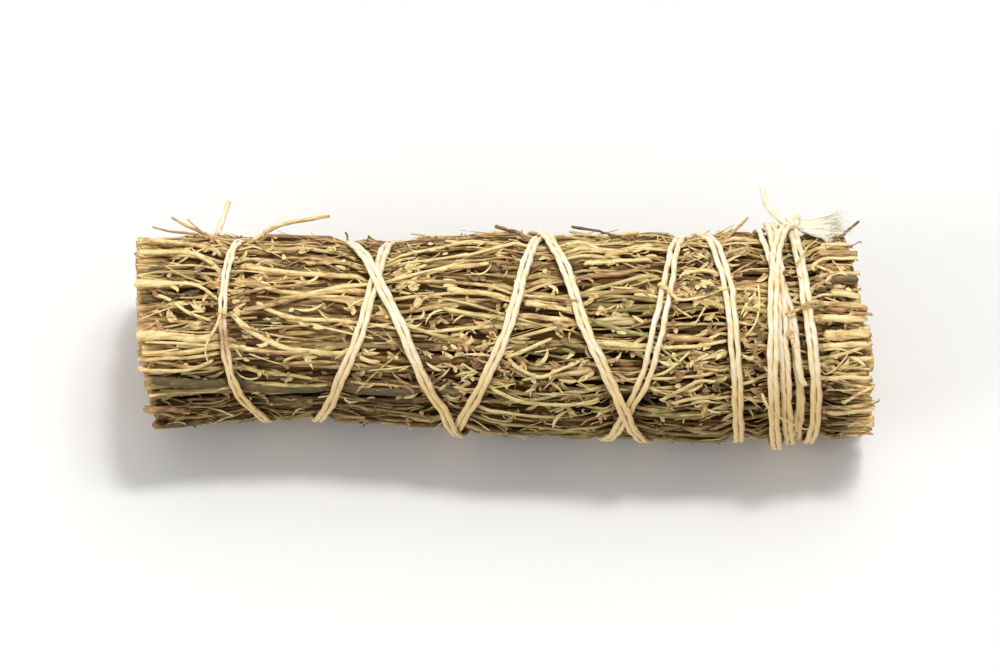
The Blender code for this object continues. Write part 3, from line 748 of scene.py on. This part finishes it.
def scrap_batch(x, wrap, angle, length, bend, depth, rise, width, tint, rings=6, sides=4):
    """Curled scraps of leaf: each sets off at an angle, bends evenly, rises and is widest part-way."""
    t = np.linspace(0.0, 1.0, rings)[None]
    turn = angle[:, None] + bend[:, None] * (t - 0.3)
    step = length[:, None] / (rings - 1)
    along = np.concatenate([np.zeros((len(x), 1)), np.cumsum(np.cos(turn[:, 1:]) * step, axis=1)], axis=1)
    around = np.concatenate([np.zeros((len(x), 1)), np.cumsum(np.sin(turn[:, 1:]) * step, axis=1)], axis=1)
    x_at = x[:, None] + along
    wrap_at = wrap[:, None] + np.degrees(around / roll_radius(x_at))
    deep = depth[:, None] - rise[:, None] * t ** 1.6
    wide = width[:, None] * (0.12 + np.sin(math.pi * t ** 0.7).clip(0.0) ** 0.6)
    path = spot(x_at, wrap_at, lay(x_at, wrap_at, deep, 0.3 * wide))
    shapes, pattern = sweep(path, wide, FLAT_SCRAP * wide, outward(wrap_at), sides)
    shapes[..., 2] = np.maximum(shapes[..., 2], LOWEST)
    above = (roll_radius(0.0) - depth) * np.cos(np.radians(wrap))
    inside = x_at.min(axis=1) > end_plane(LEFT_END, LEFT_LEAN, above)
    inside = inside & (x_at.max(axis=1) < end_plane(RIGHT_END, RIGHT_LEAN, above))
    marks = {
        "tint": on_rings(tint[:, None] + 0.0 * t, sides),
        "buried": on_rings(darkness(deep, x_at, wrap_at), sides),
        "cut": on_rings(0.0 * wide, sides),
    }
    return [shapes[inside], pattern, {name: mark[inside] for name, mark in marks.items()}], wrap[inside]


# Painted light: a paler tint in a broad band about 15 mm right of the middle, where more light falls
PAINTED_LIGHT, PAINTED_LIGHT_AT, PAINTED_LIGHT_REACH = 0.12, 15.0 * MM, 25.0 * MM


def twig_layer(count, first, depth, radius, length, lean, tints, rings, sides, taper=0.45, spring=0.9 * MM):
    """A layer of twigs spread evenly over the roll; each value but the count is a range."""
    u, v = even_places(count, first)
    heading = np.where(rng.random(count) < 0.5, 1.0, -1.0)
    long = np.exp(spread(count, math.log(length[0]), math.log(length[1])))
    x = -62.0 * MM + u * 124.0 * MM - heading * long / 2.0
    start = (x, v * 360.0 + rng.normal(size=count) * 1.2)
    thick = radius[0] + (radius[1] - radius[0]) * rng.random(count) ** 1.3
    # the tint: random, with the painted light of the paler band right of the middle
    tint = tints[0] + tints[1] * rng.normal(size=count) + PAINTED_LIGHT * np.exp(-(((x - PAINTED_LIGHT_AT) / PAINTED_LIGHT_REACH) ** 2))
    return twig_batch(start, heading, long, lean * rng.normal(size=count), spread(count, *depth), thick,
                      taper * (0.4 + rng.random(count)), spread(count, 0.06, 0.40) * MM,
                      spring * rng.random(count) ** 3, tint, rings, sides)


# From the inside out: coarse stems, twigs, thin twigs, short slips and hairs
batches = [
    twig_layer(170, 3, (1.5 * MM, 2.3 * MM), (0.50 * MM, 0.90 * MM), (35.0 * MM, 90.0 * MM),
               0.02, (0.32, 0.14), 16, 6, 0.25, 0.0),
    twig_layer(460, 11, (0.8 * MM, 1.6 * MM), (0.24 * MM, 0.56 * MM), (12.0 * MM, 46.0 * MM),
               0.09, (0.42, 0.18), 14, 5),
    twig_layer(400, 29, (0.2 * MM, 0.8 * MM), (0.18 * MM, 0.52 * MM), (7.0 * MM, 34.0 * MM),
               0.13, (0.48, 0.19), 14, 5, 0.45, 1.3 * MM),
    twig_layer(430, 53, (0.0 * MM, 0.6 * MM), (0.10 * MM, 0.26 * MM), (2.5 * MM, 9.0 * MM),
               0.42, (0.52, 0.18), 9, 4, 0.45, 1.5 * MM),
    twig_layer(260, 71, (0.0 * MM, 0.6 * MM), (0.05 * MM, 0.12 * MM), (3.0 * MM, 12.0 * MM),
               0.30, (0.50, 0.2), 7, 3, 0.45, 1.5 * MM),
]

# Thick with curled leaf and buds: how far along and above the axis in the picture and how far each way,
# in mm, and what share of all the scraps lies there
CLUSTERS = [
    ((-5.5, -4.5), (7.0, 4.8), 0.034), ((30.5, 9.0), (5.5, 4.5), 0.020), ((37.5, 3.0), (4.0, 4.0), 0.014),
    ((34.0, -7.5), (7.5, 5.5), 0.030), ((42.0, -3.0), (1.5, 11.0), 0.014), ((50.5, 9.0), (2.6, 2.2), 0.012),
    ((51.8, -4.3), (2.0, 2.4), 0.005), ((-16.4, 10.0), (5.0, 4.5), 0.014), ((-41.0, 9.0), (5.0, 4.0), 0.012),
    ((8.0, -8.0), (8.0, 4.0), 0.012),
]


def strewn(count):
    """Places for scraps and buds: some in the clusters, and the rest evenly all over."""
    u, v = even_places(count, 101)
    x, wrap = -57.0 * MM + u * 114.0 * MM, v * 360.0
    left = rng.random(count)
    for (along, above), (wide, high), share in CLUSTERS:
        chosen = (left >= 0.0) & (left < share)
        reach = np.array([wide, high])[:, None] * spread((2, count), -1.0, 1.0)
        at = np.array([along, above])[:, None] + reach
        place_x, place_wrap, _ = pictured(at[0] * MM, np.clip(at[1], -15.0, 15.0) * MM)
        x, wrap = np.where(chosen, place_x, x), np.where(chosen, place_wrap, wrap)
        left = left - share
    return x, wrap


# Leaves grow in small fans from one place; loose scraps and buds lie between them
FANS, FAN_LEAVES, SCRAPS, BUDS = 850, 4, 1500, 900
fan_x, fan_wrap = (np.repeat(place, FAN_LEAVES) for place in strewn(FANS))
leaves = FANS * FAN_LEAVES
fan_way = np.repeat(rng.normal(size=FANS) * 0.45 + np.where(rng.random(FANS) < 0.5, 0.0, math.pi), FAN_LEAVES)
batches.append(scrap_batch(
    x=fan_x + spread(leaves, -0.4, 0.4) * MM,
    wrap=fan_wrap + spread(leaves, -1.5, 1.5),
    angle=fan_way + spread(leaves, -0.6, 0.6),
    length=np.exp(spread(leaves, math.log(1.1), math.log(2.9))) * MM,
    bend=rng.normal(size=leaves) * 1.4,
    depth=np.repeat(spread(FANS, 0.3, 1.2), FAN_LEAVES) * MM,
    rise=spread(leaves, 0.0, 0.7) * MM,
    width=spread(leaves, 0.13, 0.34) * MM,
    tint=np.repeat(0.38 + 0.18 * rng.normal(size=FANS), FAN_LEAVES)))
scrap_x, scrap_wrap = strewn(SCRAPS)
scrap_angle = rng.normal(size=SCRAPS) * 0.50 + np.where(rng.random(SCRAPS) < 0.5, 0.0, math.pi)
batches.append(scrap_batch(
    x=scrap_x, wrap=scrap_wrap, angle=scrap_angle,
    length=np.exp(spread(SCRAPS, math.log(1.3), math.log(5.0))) * MM,
    bend=rng.normal(size=SCRAPS) * 1.3,
    depth=spread(SCRAPS, 0.2, 1.4) * MM,
    rise=spread(SCRAPS, 0.1, 1.0) * MM,
    width=spread(SCRAPS, 0.12, 0.34) * MM,
    tint=0.45 + 0.17 * rng.normal(size=SCRAPS)))
bud_x, bud_wrap = strewn(BUDS)
batches.append(scrap_batch(
    x=bud_x, wrap=bud_wrap, angle=spread(BUDS, 0.0, 6.28),
    length=spread(BUDS, 0.7, 1.4) * MM,
    bend=0.0 * bud_x,
    depth=spread(BUDS, 0.2, 1.3) * MM,
    rise=spread(BUDS, 0.0, 0.3) * MM,
    width=spread(BUDS, 0.25, 0.44) * MM,
    tint=0.43 + 0.16 * rng.normal(size=BUDS), rings=5, sides=5))

# Twigs that stand out in the picture: radius, tint, and the places they pass, along and above the axis, in mm
STANDING_OUT = [
    (0.42, 0.46, [(-41.8, 14.5), (-37.9, 15.7), (-34.6, 17.1), (-30.4, 17.9), (-27.3, 18.4)]),
    (0.30, 0.40, [(-44.1, 14.2), (-47.5, 15.9), (-49.9, 17.0), (-52.0, 18.2)]),
    (0.20, 0.42, [(-46.9, 15.6), (-48.0, 16.5), (-49.5, 17.9)]),
    (0.25, 0.36, [(-45.2, 14.6), (-48.9, 15.6), (-52.2, 16.0), (-55.0, 16.7)]),
    (0.22, 0.12, [(-22.9, 13.1), (-23.8, 14.2), (-24.9, 15.9)]),
    (0.30, 0.36, [(32.9, 14.0), (34.4, 15.1), (36.1, 16.4), (37.9, 18.2)]),
    (0.32, 0.10, [(50.9, 14.2), (52.0, 15.1), (53.1, 15.9), (55.2, 17.6)]),
    (0.12, 0.12, [(53.1, 12.8), (54.1, 13.6), (55.5, 14.5)]),
    (0.12, 0.14, [(53.1, 12.0), (54.1, 12.6), (54.8, 12.8)]),
    (0.30, 0.30, [(53.8, 3.4), (55.6, 3.3), (57.2, 3.1)]),
    (0.15, 0.20, [(55.6, -11.4), (56.9, -10.9), (58.3, -10.4)]),
    (0.76, 0.54, [(-57.5, -0.2), (-53.0, -0.3), (-48.3, -0.8), (-44.2, -0.6)]),
    (0.70, 0.60, [(-57.5, 7.9), (-54.5, 7.8), (-51.9, 7.9)]),
    (0.80, 0.02, [(-55.8, -7.4), (-47.5, -8.0), (-38.2, -8.6), (-27.1, -8.9), (-17.0, -9.2), (-6.5, -9.6)]),
    (0.60, 0.22, [(-56.2, -12.0), (-53.0, -11.8), (-49.1, -12.2)]),
    (0.75, 0.16, [(-54.7, -14.6), (-51.4, -14.5), (-47.5, -14.0)]),
    (0.46, 0.66, [(-43.0, 3.6), (-40.8, 1.4), (-38.5, -0.3), (-33.7, -2.3), (-28.8, -2.8), (-24.1, -3.6),
                  (-19.5, -4.7)]),
    (0.38, 0.52, [(-38.8, 5.0), (-36.3, 3.6), (-33.7, 2.6), (-28.0, 2.2), (-22.1, 1.9)]),
    (0.52, 0.46, [(-41.3, 11.2), (-37.4, 10.3), (-33.7, 9.7), (-27.3, 9.2), (-21.2, 8.9)]),
    (0.38, 0.40, [(-42.5, 8.7), (-38.2, 7.6), (-33.7, 6.5), (-28.0, 5.9), (-21.8, 5.5)]),
    (0.32, 0.56, [(-52.0, 7.8), (-49.9, 7.9), (-47.8, 7.5), (-44.6, 5.6)]),
    (0.30, 0.60, [(-54.1, 6.1), (-51.9, 5.0), (-49.4, 3.4), (-45.8, 2.0)]),
    (0.38, 0.50, [(-57.3, -5.5), (-53.8, -5.9), (-49.9, -5.8), (-45.5, -4.5)]),
    (0.32, 0.44, [(-57.3, -4.1), (-51.4, -3.9), (-44.2, -3.4)]),
    (0.50, 0.46, [(-57.3, 15.0), (-53.0, 14.5), (-49.1, 14.0), (-44.2, 13.2)]),
    (0.50, 0.70, [(-57.3, 12.8), (-53.0, 12.8), (-48.3, 12.6), (-43.9, 10.1)]),
    (0.52, 0.50, [(-8.9, 7.0), (-3.9, 6.4), (0.9, 5.8)]),
    (0.45, 0.52, [(3.1, 5.1), (7.0, 4.4), (10.8, 3.6)]),
    (0.45, 0.42, [(2.0, 3.0), (6.7, 2.6), (11.4, 1.9)]),
    (0.52, 0.64, [(13.7, -1.4), (17.9, -1.6), (22.9, -2.0)]),
    (0.32, 0.66, [(0.0, -3.9), (3.6, -2.3), (7.3, -0.8)]),
    (0.32, 0.54, [(0.5, -4.1), (2.3, -5.6), (5.5, -6.7), (8.6, -5.6), (11.7, -4.2)]),
    (0.35, 0.66, [(-3.1, -8.3), (-0.6, -9.5), (2.3, -10.6), (6.7, -11.1), (10.9, -10.9), (14.8, -10.3)]),
    (0.32, 0.52, [(-5.5, -11.7), (-0.8, -12.3), (3.9, -12.8), (8.1, -13.1)]),
    (0.38, 0.52, [(12.3, 11.2), (17.1, 11.4), (22.9, 11.8)]),
    (0.60, 0.47, [(15.7, 12.5), (19.2, 13.4), (22.9, 14.2)]),
    (0.36, 0.14, [(-1.6, 16.8), (1.1, 16.0), (4.2, 15.1)]),
    (0.26, 0.12, [(10.3, 16.7), (14.8, 16.0), (19.5, 15.1)]),
    (0.46, 0.80, [(30.7, 5.1), (35.4, 4.4), (40.7, 3.6)]),
    (0.55, 0.30, [(24.0, -0.2), (28.0, -0.6), (32.4, -1.1)]),
    (0.32, 0.60, [(22.3, -2.3), (28.5, -2.0), (34.9, -1.1)]),
    (0.24, 0.62, [(22.3, -7.3), (24.9, -6.1), (27.0, -4.4), (28.8, -2.8)]),
    (0.32, 0.70, [(25.9, -10.9), (29.1, -10.3), (32.6, -9.7)]),
    (0.30, 0.66, [(24.1, -10.6), (27.3, -8.9), (30.1, -7.5), (32.9, -7.6)]),
    (0.20, 0.62, [(39.4, 8.1), (39.6, 6.5), (39.6, 4.4), (39.3, 2.5), (38.5, 0.9), (37.2, -0.6)]),
    (0.66, 0.52, [(47.9, 2.5), (52.2, 2.5), (56.3, 2.4)]),
    (0.88, 0.48, [(50.0, -0.2), (53.4, -0.1), (56.6, 0.0)]),
    (0.55, 0.50, [(48.6, -2.3), (51.4, -1.8), (56.9, -1.7)]),
    (0.42, 0.60, [(48.8, -7.3), (53.0, -6.9), (57.0, -6.9)]),
    (0.45, 0.60, [(48.8, -12.9), (53.4, -12.3), (57.5, -11.7)]),
    (0.42, 0.54, [(49.2, 13.7), (51.6, 13.8), (54.0, 13.9)]),
    (0.62, 0.33, [(48.9, 12.6), (51.6, 12.5), (54.2, 12.5)]),
    (0.35, 0.60, [(47.5, 10.7), (50.0, 11.6), (53.0, 11.6), (54.9, 11.7)]),
    (0.65, 0.04, [(51.2, 8.6), (53.0, 8.6), (54.8, 8.5)]),
    (0.65, 0.48, [(51.1, 6.5), (53.0, 6.4), (55.2, 5.9)]),
    (0.24, 0.62, [(47.8, 5.9), (49.4, 6.2), (51.0, 6.1)]),
    (0.15, 0.62, [(48.9, -2.8), (51.7, -2.3), (53.4, -3.0), (51.9, -5.1), (50.0, -6.4), (49.2, -5.9)]),
    (0.25, 0.45, [(52.2, -5.3), (54.6, -5.4), (57.0, -5.6)]),
    (0.30, 0.50, [(52.5, -10.9), (55.0, -9.5), (57.6, -8.1)]),
    (0.25, 0.50, [(53.4, -14.5), (55.3, -13.6), (57.3, -13.5)]),
]
# Those that were caught over the string, in the same way
OVER_THE_STRING = [
    (0.28, 0.60, [(-44.2, 3.6), (-44.9, 1.4), (-46.4, -1.4), (-46.7, -3.1), (-46.1, -5.0)]),
    (0.22, 0.28, [(-45.0, 3.1), (-43.8, 2.8), (-41.9, 2.5)]),
    (0.36, 0.70, [(23.9, 7.8), (25.4, 6.7), (27.0, 5.3), (30.4, 5.8), (34.6, 6.9)]),
]
# And over the wound turns near the right end, where the string lies twice or three times
OVER_THE_TURNS = [
    (0.22, 0.24, [(43.3, 8.9), (44.6, 8.4), (46.1, 8.1)]),
    (0.50, 0.38, [(56.4, 4.2), (53.0, 4.6), (49.6, 4.8), (47.4, 4.4), (45.4, 3.4), (43.6, 3.0)]),
    (0.28, 0.60, [(40.0, -9.0), (41.0, -10.6), (42.4, -11.8), (44.7, -12.9), (47.4, -14.0)]),
    (0.16, 0.64, [(45.5, 10.3), (46.9, 12.3), (48.1, 14.0), (49.4, 15.6)]),
    (0.62, 0.44, [(44.2, 0.2), (44.6, -0.6), (44.8, -1.6)]),
]
OUT_RINGS, OUT_SIDES, OUT_FLAT = 36, 8, 0.85
OUT_PITCH, OUT_SWELL, SUNK_SHARE = 6.2 * MM, 0.16, 0.35
UNDER_TAPER, OVER_TAPER = 0.25, 0.6
TUCKED, TUCKED_SHARE = 0.5 * MM, 0.06
FREE_ABOVE, FINE_ROUGH = 0.1 * MM, 0.05
UNDER_THE_STRING, STRING_HIGH, TURNS_LAID = 0.10 * MM, 0.62 * MM, 2.4


def standing_out(twigs, rings, over):
    """Chosen twigs, all in one batch. Each lies on the skin, and where it crosses the string it passes this
    far over the string's bed, or under the string where that is negative."""
    seen = np.array([catmull(np.array(places) * MM, rings) for _, _, places in twigs])
    radius = np.array([r for r, _, _ in twigs])[:, None] * MM
    tint = np.array([tone for _, tone, _ in twigs])[:, None]
    x, wrap, height = pictured(seen[..., 0], seen[..., 1])
    free = height > roll_radius(x) + FREE_ABOVE
    t = np.linspace(0.0, 1.0, rings)[None]
    to_end = np.minimum(t, 1.0 - t)
    pressed, taper = (radius, UNDER_TAPER) if over < 0.0 else (0.0 * radius, OVER_TAPER)
    resting = lay(x, wrap, SUNK_SHARE * radius, pressed) + over * string_bite(x, wrap)
    resting = resting - TUCKED * np.maximum(0.0, 1.0 - to_end / TUCKED_SHARE)
    height = np.where(free, height, resting)
    along = np.cumsum(np.linalg.norm(np.diff(seen, axis=1, prepend=seen[:, :1]), axis=-1), axis=1)
    phase, wobble = rng.random((2, len(radius), 1))
    wrap = wrap + 0.25 * np.sin(2.0 * math.pi * (along / (7.0 * MM) + wobble))
    size = radius * swollen(along, OUT_PITCH, phase, OUT_SWELL) * (1.0 - taper * t)
    size = size * np.minimum(1.0, 0.7 + to_end * 20.0)
    path = spot(x, wrap, height)
    shapes, pattern = sweep(path, size, OUT_FLAT * size, outward(wrap), OUT_SIDES)
    centres = np.repeat(path, OUT_SIDES, axis=1)
    rough = 1.0 + FINE_ROUGH * rng.normal(size=(len(radius), rings * OUT_SIDES))
    shapes[:, :-2] = centres + (shapes[:, :-2] - centres) * rough[..., None]
    ends = np.where(to_end < 1e-6, 1.0, 0.0) + 0.0 * size
    marks = {
        "tint": on_rings(tint + 0.0 * size, OUT_SIDES),
        "buried": on_rings(darkness(SHADE_FREE_SKIN, x, wrap), OUT_SIDES),
        "cut": on_rings(ends, OUT_SIDES),
    }
    return [shapes, pattern, marks], wrap[:, rings // 2]


batches.append(standing_out(STANDING_OUT, OUT_RINGS, -UNDER_THE_STRING))
batches.append(standing_out(OVER_THE_STRING, OUT_RINGS, BITE + STRING_HIGH))
batches.append(standing_out(OVER_THE_TURNS, OUT_RINGS, BITE + TURNS_LAID * STRING_HIGH))

herb, herb_shader, look = new_look("dried_herb")
tint, buried, cut = look.mark("tint"), look.mark("buried"), look.mark("cut")
streaks = look.noise((320.0, 3200.0, 3200.0), 3.0)
blotches = look.noise((520.0, 900.0, 900.0), 3.0)
tone = (tint + (streaks - 0.5) * 0.8 + (blotches - 0.5) * 0.5).clamped()
bark = look.node("ValToRGB", {"stops": [
    (0.00, paint(116, 106, 80)), (0.12, paint(138, 120, 88)), (0.21, paint(176, 136, 104)),
    (0.30, paint(194, 158, 116)), (0.40, paint(216, 185, 130)), (0.50, paint(240, 212, 152)),
    (0.60, paint(249, 231, 184)), (0.70, paint(236, 214, 146)), (0.82, paint(204, 188, 126)),
    (0.94, paint(164, 154, 106)),
]}, {"Fac": tone})
# Painted shade: the herb colour is darkened by depth in the roll and on the side away from the light
colour_with_shade = look.blend(buried.clamped(), bark, paint(116, 100, 72), "MULTIPLY")
fine = look.noise((5000.0, 9000.0, 9000.0), 2.0)
wood = look.blend(fine, paint(150, 112, 66), paint(232, 202, 140))
trimmed_wood = look.blend((cut * 1.2 - 0.2).clamped(), colour_with_shade, wood)
grain = streaks * 0.8 + fine * 0.4
relief = look.node("Bump", values={"Strength": 0.7, "Distance": 0.09 * MM, "Height": grain})
wear(look, herb_shader, Base_Color=trimmed_wood, Normal=relief)
herb_shader.inputs["Roughness"].default_value = 0.75
herb_shader.inputs["Specular IOR Level"].default_value = 0.25

SPRIGS = [f"sprig_{number:02d}" for number in range(1, 49)]
OUTER = 24
STEM_RINGS, STEM_SIDES = 40, 8
STEM_RADIUS, STEM_PITCH, STEM_SWELL = (0.8, 1.25), 7.5 * MM, 0.22
STEM_UP = (0.0, 0.3, 1.0)
SWAY, SWAY_RUN, LILT, LILT_RUN = 0.35 * MM, 31.0 * MM, 0.30 * MM, 23.0 * MM
FILL_TWIGS, FEWER_OUTSIDE = 17, 3
FILL_RADIUS, FILL_RINGS, FILL_SIDES = (0.25, 0.72), 14, 5


def centre_line(node, x):
    """A node's middle line: the cubic that fits its corners best, in y and in z."""
    mesh = bpy.data.objects[node].data
    corners = np.empty(len(mesh.vertices) * 3)
    mesh.vertices.foreach_get("co", corners)
    corners = corners.reshape(-1, 3)
    return np.stack([np.polyval(np.polyfit(corners[:, 0], corners[:, k], 3), x) for k in (1, 2)], axis=-1)


def stem_batch(node, offsets, radii, tints, sides, rings):
    """Stems that follow a node's middle line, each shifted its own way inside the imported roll."""
    count = len(radii)
    t = np.concatenate([[0.0, 0.0015], np.linspace(0.01, 0.99, rings - 4), [0.9985, 1.0]])[None]
    middle = centre_line(node, np.linspace(-56.0 * MM, 56.0 * MM, 3))[1]
    above = np.array([(middle - (AXIS_Y, AXIS_Z)) @ UP[1:]])
    left = end_plane(LEFT_END, LEFT_LEAN, above) + LEFT_RAGGED * ragged(count)
    right = end_plane(RIGHT_END, RIGHT_LEAN, above) + RIGHT_RAGGED * ragged(count)
    x = left[:, None] + (right - left)[:, None] * t
    phase = rng.random((count, 3, 1))
    line = centre_line(node, x)
    sway = SWAY * np.sin(2.0 * math.pi * (x / SWAY_RUN + phase[:, 0]))
    lilt = LILT * np.sin(2.0 * math.pi * (x / LILT_RUN + phase[:, 1]))
    y, z = line[..., 0] + offsets[:, :1] + sway, line[..., 1] + offsets[:, 1:] + lilt
    blunt = np.minimum(1.0, 0.9 + 60.0 * np.minimum(t, 1.0 - t))
    size = radii[:, None] * swollen(x, STEM_PITCH, phase[:, 2], STEM_SWELL) * blunt
    y = y - AXIS_Y - np.interp(x, STATION_X, STATION_BOW)
    wrap = np.degrees(np.arctan2(-y, z - AXIS_Z)) + SEEN_FROM
    height = np.minimum(np.hypot(y, z - AXIS_Z), lay(x, wrap, 0.7 * MM + size, size))
    path = spot(x, wrap, height)
    up = np.broadcast_to(np.array(STEM_UP), path.shape)
    shapes, pattern = sweep(path, size, size, up, sides)
    centres = np.repeat(path, sides, axis=1)
    rough = 1.0 + FINE_ROUGH * rng.normal(size=(count, rings * sides))
    shapes[:, :-2] = centres + (shapes[:, :-2] - centres) * rough[..., None]
    ends = np.zeros((count, rings))
    ends[:, [0, -1]] = 1.0
    marks = {
        "tint": on_rings(tints[:, None] + SPOTS * rng.normal(size=(count, rings)), sides),
        "buried": on_rings(darkness(roll_radius(x) - height, x, wrap), sides),
        "cut": on_rings(ends, sides),
    }
    return shapes, pattern, marks


middles = np.array([centre_line(node, np.array([0.0]))[0] for node in SPRIGS]) - (AXIS_Y, AXIS_Z)
sprig_wrap = (np.degrees(np.arctan2(-middles[:, 0], middles[:, 1])) + SEEN_FROM) % 360.0
for number, node in enumerate(SPRIGS):
    outer = number < OUTER
    own = [stem_batch(node, np.zeros((1, 2)), spread(1, *STEM_RADIUS) * MM, spread(1, 0.25, 0.5),
                      STEM_SIDES, STEM_RINGS)]
    fill = FILL_TWIGS - FEWER_OUTSIDE * outer
    way = spread(fill, 0.0, 2.0 * math.pi)
    far = spread(fill, 1.1, 2.0) * MM
    inward = -middles[number] / np.linalg.norm(middles[number]) * (0.8 * MM * outer)
    shift = np.stack([np.cos(way) * far, np.sin(way) * far], axis=-1) + inward
    own.append(stem_batch(node, shift, spread(fill, *FILL_RADIUS) * MM, spread(fill, 0.2, 0.6),
                          FILL_SIDES, FILL_RINGS))
    if outer:
        for (shapes, pattern, marks), wraps in batches:
            apart = np.abs((wraps[:, None] - sprig_wrap[None, :OUTER] + 180.0) % 360.0 - 180.0)
            mine = np.argmin(apart, axis=1) == number
            if mine.any():
                own.append((shapes[mine], pattern, {name: mark[mine] for name, mark in marks.items()}))
    make_piece(f"herb_{number + 1:02d}", own, herb, "dried_stem", node)
